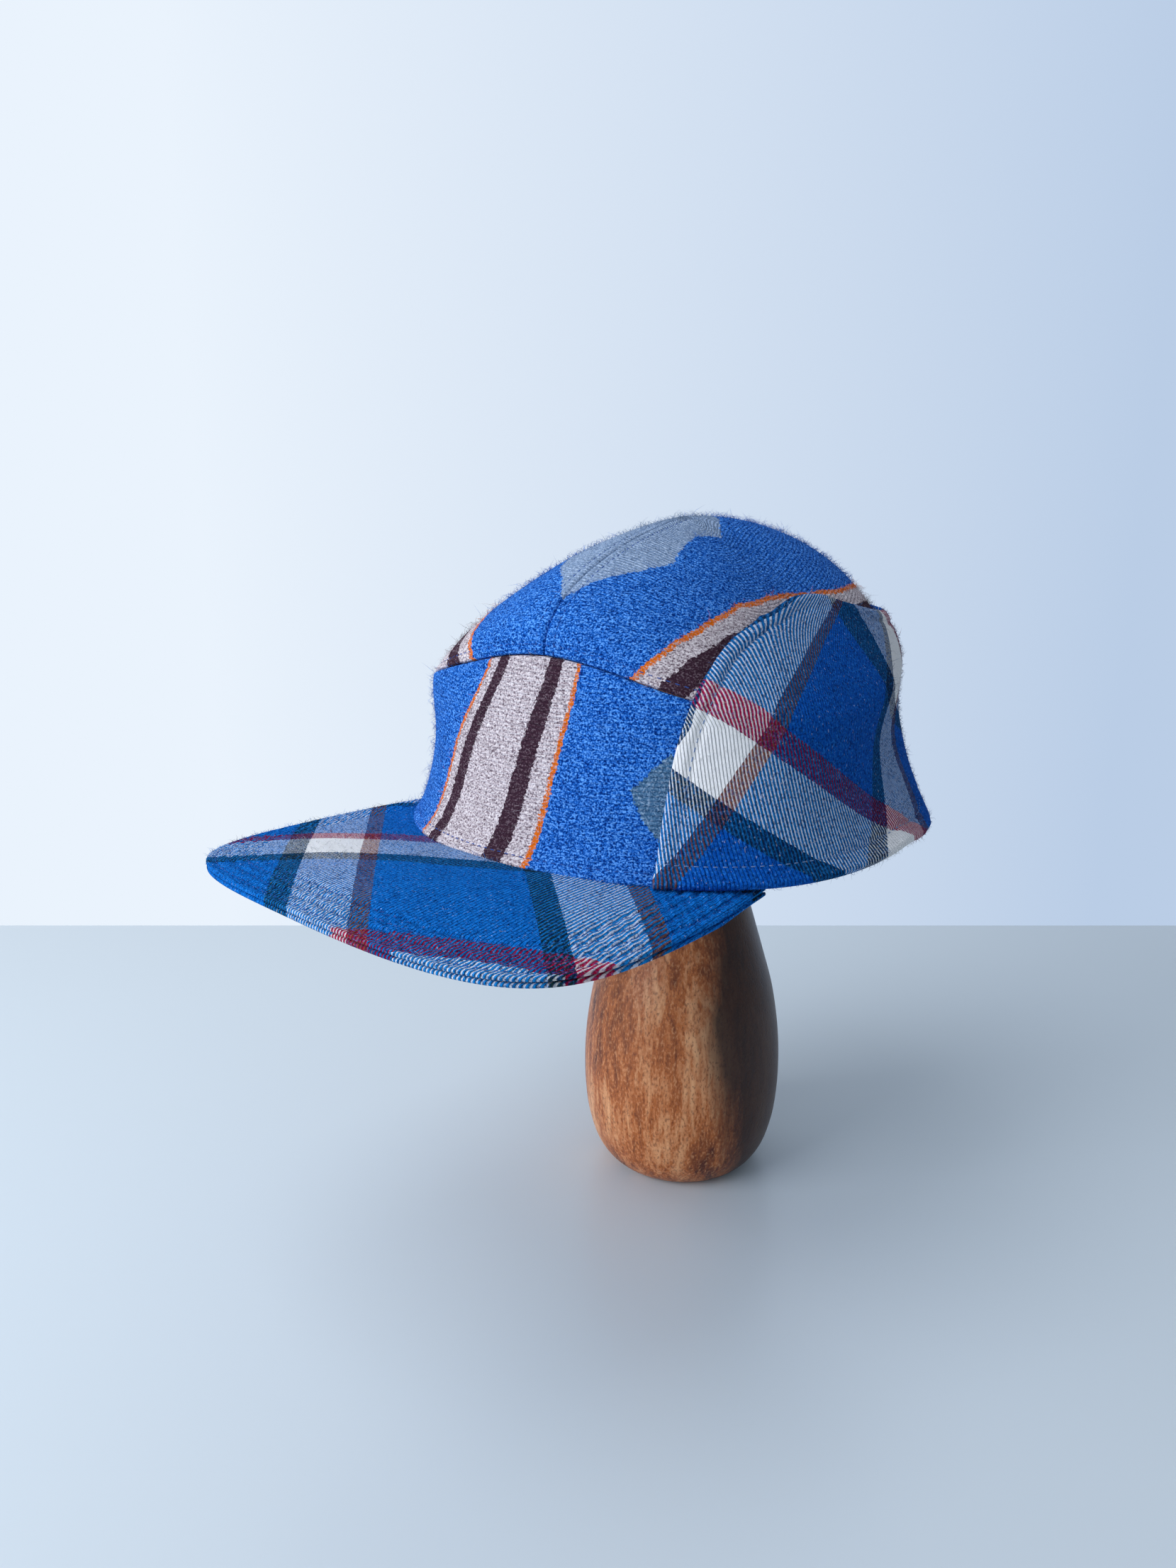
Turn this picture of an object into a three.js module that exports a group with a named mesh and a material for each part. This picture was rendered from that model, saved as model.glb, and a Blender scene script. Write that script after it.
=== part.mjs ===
// A soft cloth cap with a flat peak and a turned-up ear flap, on a turned wooden stand.
// Millimetres. The peak points to -Y, the wearer's left is +X, and Z is up.
// The origin is the middle of the stand's foot, on the surface that it stands on.
import * as THREE from "three";

// Cloth
const WALL = 2.2;            // band and crown: wool blanket with its lining
const PEAK_PLY = 1.5;        // each of the peak's two cloths
const FLAP_THICK = 2.2;      // the flap: two plies of flannel
const GAP = 0.3;             // between pieces that meet
const PEAK_SEAT_GAP = 0.5;   // the peak's upper cloth under the band's edge

// How the cap sits on the stand
const RIM_HEIGHT = 162.4;    // the rim's middle above the floor
const SET_FORWARD = 17;      // the rim's middle lies this far in front of the stand's axis
const TILT = 3;              // degrees, peak down

// The rim, a rounded loop: how far it reaches from its middle
const RIM_FRONT = 95.5;
const RIM_BACK = 96;
const RIM_HALF_WIDTH = 91;
const RIM_SIDE_DROP = 8.3;   // the rim dips at the sides

// The seam between the band and the crown
const SEAM_FRONT = 65.5;     // the front leans back to here
const SEAM_BACK = 105;
const SEAM_HALF_WIDTH = 79;
const BAND_FRONT = 61;       // height of the seam above the rim's middle, at the front
const BAND_SIDE = 38;
const BAND_BACK = 50.5;

// The crown's top
const CROWN_HEIGHT = 98.5;
const CROWN_TOP_BACK = 16;   // how far behind the rim's middle the top lies

// The peak
const PEAK_LENGTH = 71;      // beyond the rim at the front
const PEAK_HALF_WIDTH = 87;
const PEAK_ROOT = 45;        // its sides end this far in front of the rim's middle
const PEAK_ROOT_NARROW = 6;  // its sides draw in by this much where they meet the rim
const PEAK_HALF_ANGLE = 61;  // degrees of the rim that it spans on each side
const PEAK_TWIST = -5.65;    // degrees, it sits a little round to the wearer's right
const PEAK_LIFT = 6.2;       // its front edge above the rim's middle
const PEAK_ARCH = 7.8;       // its sides curve down by this much
const PEAK_SWELL = 1.5;      // soft rise between the rim and the edge

// The ear flap, folded up round the back from temple to temple
const FLAP_HEIGHT = 92.5;    // up the cloth, at the left ear
const FLAP_FAR_SHARE = 0.88; // its right half is this much of that
const FLAP_TURN_FOLD = 34;   // degrees, its right front edge lies further back at the fold
const FLAP_TURN_TOP = 17;    // and at the top
const FLAP_FLARE = 4.5;      // how far its fold stands out at the back corners
const FLAP_DROOP = 7;        // how far its fold hangs below the rim behind the left ear
const FLAP_LIE = 1.6;        // how far it lies off the cap elsewhere

// The stand
const BELLY_RADIUS = 40;
const BODY_HEIGHT = 150;
const KNOB_RADIUS = 32;
const KNOB_RISE = 24;        // half the height of the knob
const STAND_SIDES = 36;

// Shape of a loop: 2 is an ellipse and more is squarer
const ROUND = 2.07;
const SEAM_FRONT_SQUARE = 2.8;
const SEAM_BACK_ROUND = 2;
const PEAK_SIDE_ROUND = 2.28;
const PEAK_FRONT_SQUARE = 6.56;

// The crown's profile from the seam up, by direction: fullness at the foot and at the top
const CROWN_PROFILE = {
  side: { top: 1.64, foot: 1.0 },
  front: { top: 1.38, foot: 0.45 },
  back: { top: 2.0, foot: 0.52 },
};

// The band flares at its foot: share of the way up, and share of the way in to the seam
const BAND_ROWS = [
  { up: 0, inward: 0 },
  { up: 0.08, inward: 0.2 },
  { up: 0.18, inward: 0.36 },
  { up: 0.35, inward: 0.55 },
  { up: 0.6, inward: 0.76 },
  { up: 0.8, inward: 0.89 },
  { up: 1, inward: 1 },
];

// Soft hollows, and one swell with a depth below nothing. Level runs 0 to 1 up the band and
// 1 to 2 up the crown
const HOLLOWS = [
  { angle: -56, level: 0.95, depth: -3.4, spread: 18, tall: 0.3 },   // right corner of the seam
  { angle: 114, level: 0.62, depth: 5.4, spread: 28, tall: 0.36 },   // waist at the left ear
  { angle: -110, level: 0.6, depth: 2.4, spread: 26, tall: 0.38 },   // waist at the right ear
  { angle: -38, level: 1.42, depth: 0.7, spread: 14, tall: 0.16 },   // right half, above the seam
  { angle: 36, level: 1.5, depth: 0.5, spread: 13, tall: 0.14 },     // left half, above the seam
  { angle: 70, level: 1.55, depth: 0.6, spread: 18, tall: 0.18 },    // beside the flap's top
];

// The flap's front edge: share of its height, and angle round the cap in degrees
const FLAP_EDGE = [
  { up: 0, angle: 33 },
  { up: 0.3, angle: 36 },
  { up: 0.55, angle: 40 },
  { up: 0.75, angle: 46 },
  { up: 0.9, angle: 54 },
  { up: 1, angle: 65 },
];

// Round the flap from its front edge to the middle of the back: the top edge as a share of
// FLAP_HEIGHT, and how much of FLAP_FLARE and FLAP_DROOP its fold has
const FLAP_ROUND = [
  { angle: 33, top: 0.95, flare: 0, droop: 0 },
  { angle: 65, top: 0.967, flare: 0.08, droop: 0 },
  { angle: 80, top: 1.01, flare: 0.35, droop: 0 },
  { angle: 92, top: 1.022, flare: 0.8, droop: 0 },
  { angle: 101, top: 1.01, flare: 0.97, droop: 0.4 },
  { angle: 111, top: 0.97, flare: 1, droop: 0.85 },
  { angle: 118, top: 0.9, flare: 0.8, droop: 1 },
  { angle: 129, top: 0.79, flare: 0.4, droop: 0.9 },
  { angle: 145, top: 0.68, flare: 0.3, droop: 0.6 },
  { angle: 180, top: 0.62, flare: 0.3, droop: 0.4 },
];

// How flare and droop die away up the flap: share of the flap's height, and share of them
const FLARE_ROWS = [
  { up: 0, share: 1 },
  { up: 0.1, share: 0.62 },
  { up: 0.22, share: 0.26 },
  { up: 0.38, share: 0.06 },
  { up: 0.5, share: 0 },
  { up: 1, share: 0 },
];

// The stand's body: share of BODY_HEIGHT, and share of BELLY_RADIUS
const STAND_ROWS = [
  { up: 0, out: 0.64 },
  { up: 0.012, out: 0.72 },
  { up: 0.053, out: 0.85 },
  { up: 0.133, out: 0.953 },
  { up: 0.2, out: 0.988 },
  { up: 0.273, out: 1 },
  { up: 0.34, out: 0.993 },
  { up: 0.4, out: 0.973 },
  { up: 0.51, out: 0.904 },
  { up: 0.6, out: 0.81 },
  { up: 0.7, out: 0.7 },
  { up: 0.85, out: 0.54 },
  { up: 1, out: 0.45 },
];

// Grid sizes
const BAND_COLUMNS = 72;
const CROWN_COLUMNS = 30;
const CROWN_ROWS = 13;
const PEAK_COLUMNS = 34;
const PEAK_ROWS = 7;
const FLAP_COLUMNS = 56;
const FLAP_ROWS = 13;

const rad = THREE.MathUtils.degToRad;
const mix = THREE.MathUtils.lerp;
const FULL_TURN = 2 * Math.PI;

// A value read from a table, on a straight line between two of its rows
function read(table, key, column, value) {
  if (value <= table[0][key]) return table[0][column];
  for (let i = 1; i < table.length; i += 1) {
    const low = table[i - 1];
    const high = table[i];
    if (value <= high[key]) {
      const share = (value - low[key]) / (high[key] - low[key]);
      return mix(low[column], high[column], share);
    }
  }
  return table[table.length - 1][column];
}

// A squared-off ellipse, by direction: 0 is the front, 90 degrees the wearer's left
function loop(angle, front, back, halfWidth, frontSquare, backSquare) {
  const side = Math.abs(Math.sin(angle)) / halfWidth;
  const ahead = Math.cos(angle) >= 0;
  const along = Math.abs(Math.cos(angle)) / (ahead ? front : back);
  const square = ahead ? frontSquare : backSquare;
  const reach = Math.pow(Math.pow(side, square) + Math.pow(along, square), -1 / square);
  return new THREE.Vector3(reach * Math.sin(angle), -reach * Math.cos(angle), 0);
}

function rimPoint(angle) {
  const point = loop(angle, RIM_FRONT, RIM_BACK, RIM_HALF_WIDTH, ROUND, ROUND);
  point.z = -RIM_SIDE_DROP * Math.sin(angle) ** 2;
  return point;
}

function seamPoint(angle) {
  const point = loop(
    angle, SEAM_FRONT, SEAM_BACK, SEAM_HALF_WIDTH, SEAM_FRONT_SQUARE, SEAM_BACK_ROUND);
  const end = Math.cos(angle) >= 0 ? BAND_FRONT : BAND_BACK;
  point.z = mix(BAND_SIDE, end, Math.cos(angle) ** 2);
  return point;
}

function bandPoint(angle, up) {
  const low = rimPoint(angle);
  const high = seamPoint(angle);
  const point = low.clone().lerp(high, read(BAND_ROWS, "up", "inward", up));
  point.z = mix(low.z, high.z, up);
  return point;
}

function crownPoint(angle, up) {
  const low = seamPoint(angle);
  const ends = Math.cos(angle) >= 0 ? CROWN_PROFILE.front : CROWN_PROFILE.back;
  const toEnd = Math.cos(angle) ** 2;
  const top = mix(CROWN_PROFILE.side.top, ends.top, toEnd);
  const foot = mix(CROWN_PROFILE.side.foot, ends.foot, toEnd);
  const turn = Math.min(up, 1) * Math.PI / 2;
  const out = Math.pow(Math.max(Math.cos(turn), 0), 2 / top);
  const rise = Math.pow(Math.sin(turn), 2 * foot);
  return new THREE.Vector3(
    low.x * out,
    low.y * out + CROWN_TOP_BACK * (1 - out),
    mix(low.z, CROWN_HEIGHT, rise));
}

function hollowDepth(angle, level) {
  let depth = 0;
  for (const hollow of HOLLOWS) {
    const across = (THREE.MathUtils.radToDeg(angle) - hollow.angle) / hollow.spread;
    const along = (level - hollow.level) / hollow.tall;
    depth += hollow.depth * Math.exp(-across * across - along * along);
  }
  return depth;
}

// The cap's outer cloth: level 0 is the rim, 1 the seam and 2 the top
function clothPoint(angle, level) {
  const point = level <= 1 ? bandPoint(angle, level) : crownPoint(angle, level - 1);
  const depth = hollowDepth(angle, level);
  point.x -= depth * Math.sin(angle);
  point.y += depth * Math.cos(angle);
  return point;
}

// Which way the cloth faces, from two short steps along it
function clothNormal(angle, level) {
  const turn = 0.01;
  const step = 0.01;
  const low = Math.max(level - step, 0);
  const high = Math.min(level + step, 1.98);
  const round = clothPoint(angle + turn, level).sub(clothPoint(angle - turn, level));
  const up = clothPoint(angle, high).sub(clothPoint(angle, low));
  return round.cross(up).normalize();
}

// One closed wall from an outer and an inner grid of points. Points that meet are joined and
// faces with no area are left out, so a grid may close on itself or end in a point.
function wallGeometry(outer, inner, closed) {
  const places = [];
  const faces = [];
  const known = new Map();
  const number = (point) => {
    const key = point.toArray().map((value) => value.toFixed(5)).join(" ");
    if (!known.has(key)) {
      known.set(key, places.length / 3);
      places.push(...point.toArray());
    }
    return known.get(key);
  };
  const face = (a, b, c) => {
    const [i, j, k] = [number(a), number(b), number(c)];
    if (i !== j && j !== k && k !== i) faces.push(i, j, k);
  };
  const quad = (a, b, c, d) => {
    face(a, b, c);
    face(a, c, d);
  };
  const columns = outer.length;
  const rows = outer[0].length;
  const spans = closed ? columns : columns - 1;
  for (let i = 0; i < spans; i += 1) {
    const next = (i + 1) % columns;
    for (let j = 0; j < rows - 1; j += 1) {
      quad(outer[i][j], outer[next][j], outer[next][j + 1], outer[i][j + 1]);
      quad(inner[i][j], inner[i][j + 1], inner[next][j + 1], inner[next][j]);
    }
    quad(outer[next][0], outer[i][0], inner[i][0], inner[next][0]);
    const last = rows - 1;
    quad(outer[i][last], outer[next][last], inner[next][last], inner[i][last]);
  }
  if (!closed) {
    const end = columns - 1;
    for (let j = 0; j < rows - 1; j += 1) {
      quad(outer[0][j], outer[0][j + 1], inner[0][j + 1], inner[0][j]);
      quad(outer[end][j + 1], outer[end][j], inner[end][j], inner[end][j + 1]);
    }
  }
  const geometry = new THREE.BufferGeometry();
  geometry.setAttribute("position", new THREE.Float32BufferAttribute(places, 3));
  geometry.setIndex(faces);
  geometry.computeVertexNormals();
  return geometry;
}

function grid(columns, rows, pointAt) {
  return Array.from({ length: columns }, (_, i) => (
    Array.from({ length: rows }, (_, j) => pointAt(i, j))));
}

function named(name, geometry, color, roughness) {
  const material = new THREE.MeshStandardMaterial({ color, roughness, metalness: 0 });
  const mesh = new THREE.Mesh(geometry, material);
  mesh.name = name;
  return mesh;
}

// The band: a closed loop, cut level inside its wall
function bandGeometry() {
  const angleAt = (i) => i / BAND_COLUMNS * FULL_TURN - Math.PI;
  const levelAt = (j) => BAND_ROWS[j].up;
  const outer = grid(BAND_COLUMNS, BAND_ROWS.length, (i, j) => (
    clothPoint(angleAt(i), levelAt(j))));
  const inner = grid(BAND_COLUMNS, BAND_ROWS.length, (i, j) => {
    const facing = clothNormal(angleAt(i), Math.min(levelAt(j), 0.97)).setZ(0).normalize();
    return outer[i][j].clone().addScaledVector(facing, -WALL);
  });
  return wallGeometry(outer, inner, true);
}

// Half of the crown, from the front of the centre seam round to its back
function crownOuter(side, i, j) {
  const angle = side * i / (CROWN_COLUMNS - 1) * Math.PI;
  const up = j / (CROWN_ROWS - 1);
  const point = clothPoint(angle, 1 + up);
  const onSeam = i === 0 || i === CROWN_COLUMNS - 1 || j === CROWN_ROWS - 1;
  point.x = onSeam ? side * GAP / 2 : point.x + side * GAP / 2;
  point.z += GAP;
  return point;
}

function crownInner(side, i, j) {
  const angle = side * i / (CROWN_COLUMNS - 1) * Math.PI;
  const up = j / (CROWN_ROWS - 1);
  const point = crownOuter(side, i, j);
  const facing = clothNormal(angle, Math.max(1 + up, 1.03));
  if (j === 0) facing.setZ(0).normalize();
  if (j === CROWN_ROWS - 1) facing.set(0, 0, 1);
  point.addScaledVector(facing, -WALL);
  const onSeam = i === 0 || i === CROWN_COLUMNS - 1 || j === CROWN_ROWS - 1;
  const out = onSeam ? GAP / 2 : Math.max(side * point.x, GAP / 2);
  point.x = side * out;
  return point;
}

function crownGeometry(side) {
  const outer = grid(CROWN_COLUMNS, CROWN_ROWS, (i, j) => crownOuter(side, i, j));
  const inner = grid(CROWN_COLUMNS, CROWN_ROWS, (i, j) => crownInner(side, i, j));
  return side > 0 ? wallGeometry(outer, inner, false)
    : wallGeometry(outer.reverse(), inner.reverse(), false);
}

// Points spread evenly along a line of close points
function spreadEvenly(points, count) {
  const reach = [0];
  for (let i = 1; i < points.length; i += 1) {
    reach.push(reach[i - 1] + points[i].distanceTo(points[i - 1]));
  }
  const total = reach[reach.length - 1];
  return Array.from({ length: count }, (_, i) => {
    const wanted = total * i / (count - 1);
    let k = 1;
    while (k < reach.length - 1 && reach[k] < wanted) k += 1;
    const share = (wanted - reach[k - 1]) / (reach[k] - reach[k - 1]);
    return points[k - 1].clone().lerp(points[k], share);
  });
}

// The peak's outer edge, from the wearer's right to the left
function peakEdge() {
  const steps = 4000;
  const reach = RIM_FRONT + PEAK_LENGTH - PEAK_ROOT;
  const points = Array.from({ length: steps + 1 }, (_, i) => {
    const turn = (i / steps * 2 - 1) * Math.PI / 2;
    const across = Math.sign(turn) * Math.pow(Math.abs(Math.sin(turn)), 2 / PEAK_SIDE_ROUND);
    const ahead = Math.pow(Math.max(Math.cos(turn), 0), 2 / PEAK_FRONT_SQUARE);
    const lift = PEAK_LIFT * ahead - PEAK_ARCH * across * across;
    const width = PEAK_HALF_WIDTH - PEAK_ROOT_NARROW * (1 - ahead) ** 3;
    return new THREE.Vector3(width * across, -PEAK_ROOT - reach * ahead, lift);
  });
  return spreadEvenly(points, PEAK_COLUMNS);
}

// The peak lies under the band's edge and is bent like a shallow tile
function peakGrid(edge, drop) {
  return grid(PEAK_COLUMNS, PEAK_ROWS, (i, j) => {
    const turn = rad((i / (PEAK_COLUMNS - 1) * 2 - 1) * PEAK_HALF_ANGLE + PEAK_TWIST);
    const root = rimPoint(turn);
    root.multiply(new THREE.Vector3(1 - WALL / RIM_HALF_WIDTH, 1 - WALL / RIM_FRONT, 1));
    const tip = edge[i].clone().applyAxisAngle(new THREE.Vector3(0, 0, 1), rad(PEAK_TWIST));
    const share = j / (PEAK_ROWS - 1);
    const point = root.lerp(tip, share);
    const wide = Math.min(root.distanceTo(tip) / PEAK_LENGTH, 1);
    point.z += PEAK_SWELL * wide * Math.sin(Math.PI * share) - PEAK_SEAT_GAP - drop;
    return point;
  });
}

function peakGeometry(drop) {
  const edge = peakEdge();
  return wallGeometry(peakGrid(edge, drop + PEAK_PLY), peakGrid(edge, drop), false);
}

// A place up the cloth from the rim, by its length along the cloth
function levelAtLength(angle, length) {
  const steps = 80;
  let reach = 0;
  let last = clothPoint(angle, 0);
  for (let i = 1; i <= steps; i += 1) {
    const level = 2 * i / steps;
    const point = clothPoint(angle, level);
    const step = point.distanceTo(last);
    if (reach + step >= length) return level - 2 / steps * (1 - (length - reach) / step);
    reach += step;
    last = point;
  }
  return 2;
}

function flapPlace(i, up) {
  const across = i / (FLAP_COLUMNS - 1) * 2 - 1;
  const fromEdge = 1 - Math.abs(across);
  const side = across < 0 ? 1 : -1;
  const back = side > 0 ? 0 : mix(FLAP_TURN_FOLD, FLAP_TURN_TOP, up);
  const topBack = side > 0 ? 0 : FLAP_TURN_TOP;
  const topAngle = mix(FLAP_EDGE[FLAP_EDGE.length - 1].angle + topBack, 180, fromEdge);
  const angle = mix(read(FLAP_EDGE, "up", "angle", up) + back, 180, fromEdge);
  const share = side > 0 ? 1 : mix(FLAP_FAR_SHARE, 1, fromEdge);
  const height = FLAP_HEIGHT * share * read(FLAP_ROUND, "angle", "top", topAngle);
  return { angle: rad(side * angle), degrees: angle, length: height * up };
}

function flapPoint(i, up, lift) {
  const place = flapPlace(i, up);
  const level = levelAtLength(place.angle, place.length);
  const low = read(FLARE_ROWS, "up", "share", up);
  const flare = FLAP_FLARE * read(FLAP_ROUND, "angle", "flare", place.degrees);
  const droop = FLAP_DROOP * read(FLAP_ROUND, "angle", "droop", place.degrees);
  const off = FLAP_LIE + flare * low + lift;
  const facing = clothNormal(place.angle, Math.min(Math.max(level, 0.06), 1.9));
  if (up === 0) facing.setZ(0).normalize();
  const point = clothPoint(place.angle, level).addScaledVector(facing, off);
  point.z -= droop * low;
  return point;
}

// The flap's inner face meets the band at its fold, so the fold is one thick turn of cloth
function flapGeometry() {
  const upAt = (j) => (j === 0 ? 0 : mix(FLAP_THICK / FLAP_HEIGHT, 1, (j - 1) / (FLAP_ROWS - 2)));
  const outer = grid(FLAP_COLUMNS, FLAP_ROWS, (i, j) => flapPoint(i, upAt(j), FLAP_THICK));
  const inner = grid(FLAP_COLUMNS, FLAP_ROWS, (i, j) => {
    if (j > 0) return flapPoint(i, upAt(j), 0);
    const place = flapPlace(i, 0);
    const facing = clothNormal(place.angle, 0.06).setZ(0).normalize();
    return clothPoint(place.angle, 0).addScaledVector(facing, GAP);
  });
  return wallGeometry(outer, inner, false);
}

// The cap in its own frame, then tilted and set on the stand
const cap = new THREE.Group();
cap.add(named("side_band", bandGeometry(), 0x3563b5, 0.95));
cap.add(named("crown_left", crownGeometry(1), 0x3563b5, 0.95));
cap.add(named("crown_right", crownGeometry(-1), 0x3b69ba, 0.95));
cap.add(named("ear_flap", flapGeometry(), 0x8fa6c4, 0.92));
cap.add(named("peak_upper", peakGeometry(0), 0x6d8fc0, 0.92));
cap.add(named("peak_under", peakGeometry(PEAK_PLY + GAP), 0x5f7fae, 0.92));
cap.position.set(0, -SET_FORWARD, RIM_HEIGHT);
cap.rotation.x = rad(TILT);
cap.updateMatrix();

function knobRise(radius) {
  const share = Math.min(radius / KNOB_RADIUS, 1);
  return KNOB_RISE * Math.sqrt(1 - share * share);
}

// The knob's middle is as high as the crown's inside lets it be
function knobMiddle() {
  let height = Infinity;
  for (const side of [1, -1]) {
    for (let i = 0; i < CROWN_COLUMNS; i += 1) {
      for (let j = 0; j < CROWN_ROWS; j += 1) {
        const point = crownInner(side, i, j).applyMatrix4(cap.matrix);
        const radius = Math.hypot(point.x, point.y);
        if (radius < KNOB_RADIUS) height = Math.min(height, point.z - knobRise(radius));
      }
    }
  }
  return height - GAP;
}

// A turned solid: body, neck and knob
function standGeometry() {
  const middle = knobMiddle();
  const profile = [new THREE.Vector2(0, 0)];
  for (const row of STAND_ROWS) {
    profile.push(new THREE.Vector2(BELLY_RADIUS * row.out, BODY_HEIGHT * row.up));
  }
  const neck = STAND_ROWS[STAND_ROWS.length - 1].out * BELLY_RADIUS;
  const lowest = -Math.acos(Math.min(neck / KNOB_RADIUS, 1));
  const knobSteps = 11;
  for (let i = 0; i <= knobSteps; i += 1) {
    const turn = mix(lowest, Math.PI / 2, i / knobSteps);
    const out = i === knobSteps ? 0 : KNOB_RADIUS * Math.cos(turn);
    profile.push(new THREE.Vector2(out, middle + KNOB_RISE * Math.sin(turn)));
  }
  return new THREE.LatheGeometry(profile, STAND_SIDES).rotateX(Math.PI / 2);
}

const model = new THREE.Group();
model.add(cap);
model.add(named("stand", standGeometry(), 0x6b3a26, 0.45));

export default model;
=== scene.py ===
import math

import bpy
import numpy as np
from bpy.props import FloatProperty, IntProperty
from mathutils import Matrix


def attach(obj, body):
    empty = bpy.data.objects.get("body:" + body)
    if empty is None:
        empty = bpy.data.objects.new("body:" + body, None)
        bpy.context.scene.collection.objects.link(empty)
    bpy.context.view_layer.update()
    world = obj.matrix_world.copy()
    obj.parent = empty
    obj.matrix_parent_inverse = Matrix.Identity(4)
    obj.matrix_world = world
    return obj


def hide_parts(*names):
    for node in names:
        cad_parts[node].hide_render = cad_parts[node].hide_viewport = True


bl_info = {
    "name": "Cap on a wooden stand",
    "version": (1, 0, 0),
    "blender": (4, 5, 0),
    "location": "View3D > Sidebar > Cap",
    "description": "Models a soft plaid and wool cap on a turned wooden stand",
    "category": "Object",
}

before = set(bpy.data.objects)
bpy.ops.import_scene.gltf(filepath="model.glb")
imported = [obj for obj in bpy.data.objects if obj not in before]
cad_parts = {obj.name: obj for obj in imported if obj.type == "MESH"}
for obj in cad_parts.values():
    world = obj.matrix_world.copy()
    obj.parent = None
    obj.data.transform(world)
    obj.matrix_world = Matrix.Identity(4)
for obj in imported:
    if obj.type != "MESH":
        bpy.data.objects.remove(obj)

MM = 0.001

# How the cap sits on its stand
RIM_HEIGHT = 162.4
SET_FORWARD = 17.0
TILT = 3.0

# The rim and the seam between band and crown: front, back, half width, squareness
RIM = {"front": 95.5, "back": 96.0, "half": 91.0, "square": 2.07, "square_back": 2.07}
SEAM = {"front": 65.5, "back": 105.0, "half": 79.0, "square": 2.8, "square_back": 2.0}
RIM_SIDE_DROP = 8.3
SEAM_UP_FRONT = 61.0
SEAM_UP_SIDE = 38.0
SEAM_UP_BACK = 50.5
CROWN_HEIGHT = 98.5
CROWN_TOP_BACK = 16.0
CROWN_FULL_TOP = {"side": 1.64, "front": 1.38, "back": 2.0}
CROWN_FULL_FOOT = {"side": 1.0, "front": 0.45, "back": 0.52}

# The band's flare: share of the way up, share of the way in
BAND_FLARE = [(0, 0), (0.08, 0.2), (0.18, 0.36), (0.35, 0.55), (0.6, 0.76), (0.8, 0.89), (1, 1)]

# Soft hollows: angle, level (1 is the seam, 2 the top), depth, spread, tallness
HOLLOWS = [
    (-56, 0.95, -3.4, 18, 0.3),
    (114, 0.62, 5.4, 28, 0.36),
    (-110, 0.6, 2.4, 26, 0.38),
    (-38, 1.42, 0.7, 14, 0.16),
    (36, 1.5, 0.5, 13, 0.14),
    (70, 1.55, 0.6, 18, 0.18),
]

# The peak
PEAK_LENGTH = 71.0
PEAK_HALF_WIDTH = 87.0
PEAK_ROOT = 45.0
PEAK_ROOT_NARROW = 6.0
PEAK_HALF_ANGLE = 61.0
PEAK_TWIST = -5.65
PEAK_LIFT = 6.2
PEAK_ARCH = 7.8
PEAK_SWELL = 1.5
PEAK_TUCK = 2.2    # how far it is tucked in under the band
PEAK_BELOW = 0.5   # the gap between the rim and it
PEAK_SIDE_ROUND = 2.28
PEAK_FRONT_SQUARE = 6.56

# The flap's front edge (share up, angle), its top and flare (angle, share), and how the
# flare dies away (share up, share)
FLAP_EDGE = [(0, 33), (0.3, 36), (0.55, 40), (0.75, 46), (0.9, 54), (1, 65)]
FLAP_TOP = [(33, 0.95), (65, 0.967), (80, 1.01), (92, 1.022), (101, 1.01), (111, 0.97),
            (118, 0.9), (129, 0.79), (145, 0.68), (180, 0.62)]
FLAP_FLARE_ROUND = [(33, 0), (65, 0.08), (80, 0.35), (92, 0.8), (101, 0.97), (111, 1),
                    (118, 0.8), (129, 0.4), (145, 0.3), (180, 0.3)]
FLAP_DROOP_ROUND = [(33, 0), (92, 0), (101, 0.4), (111, 0.85), (118, 1), (129, 0.9),
                    (145, 0.6), (180, 0.4)]
FLAP_FLARE_UP = [(0, 1), (0.1, 0.62), (0.22, 0.26), (0.38, 0.06), (0.5, 0), (1, 0)]

FLAP_FOOT = 0.06      # the level whose facing the flap's foot takes
FLAP_FOOT_GAP = 0.4

# The stand's body: share of its height, share of its belly radius
STAND_ROWS = [(0, 0.64), (0.012, 0.72), (0.053, 0.85), (0.133, 0.953), (0.2, 0.988),
              (0.273, 1), (0.34, 0.993), (0.4, 0.973), (0.51, 0.904), (0.6, 0.81),
              (0.7, 0.7), (0.85, 0.54), (1, 0.45)]

WAIST_RADIUS = 88.0   # round the cap for each radian, low on the band

# Each cloth's grid, one way and the other: length, spacing, and how soft its ends are
BAND_COLUMNS, BAND_GRID = 400, (56.0, 1.05)
CROWN_GRID = ((230.0, 1.2, 0.8), (110.0, 1.25))
FLAP_GRID = ((480.0, 1.45), (90.0, 1.3))
PEAK_GRID = ((330.0, 1.5), (66.0, 1.1))
STAND_SIDES, STAND_KNOB_RINGS = 144, 24

# How far the seams' stitches lie from an edge: the band's rim, the crown's foot and centre,
# the flap's fold and free edge, and the peak's rows from its outer edge
BAND_SEAM = 4.0
CROWN_FOOT_SEAM = 3.4
CROWN_CENTRE_SEAM = 3.6
FLAP_FOLD_SEAM = 6.0
FLAP_EDGE_SEAM = 5.6
PEAK_STITCH_ROWS = (3.0, 7.5, 12.0, 16.5)
# From one pucker of a seam to the next
BAND_PUCKER, PEAK_PUCKER = 5.2, 4.6


# Surfaces


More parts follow.
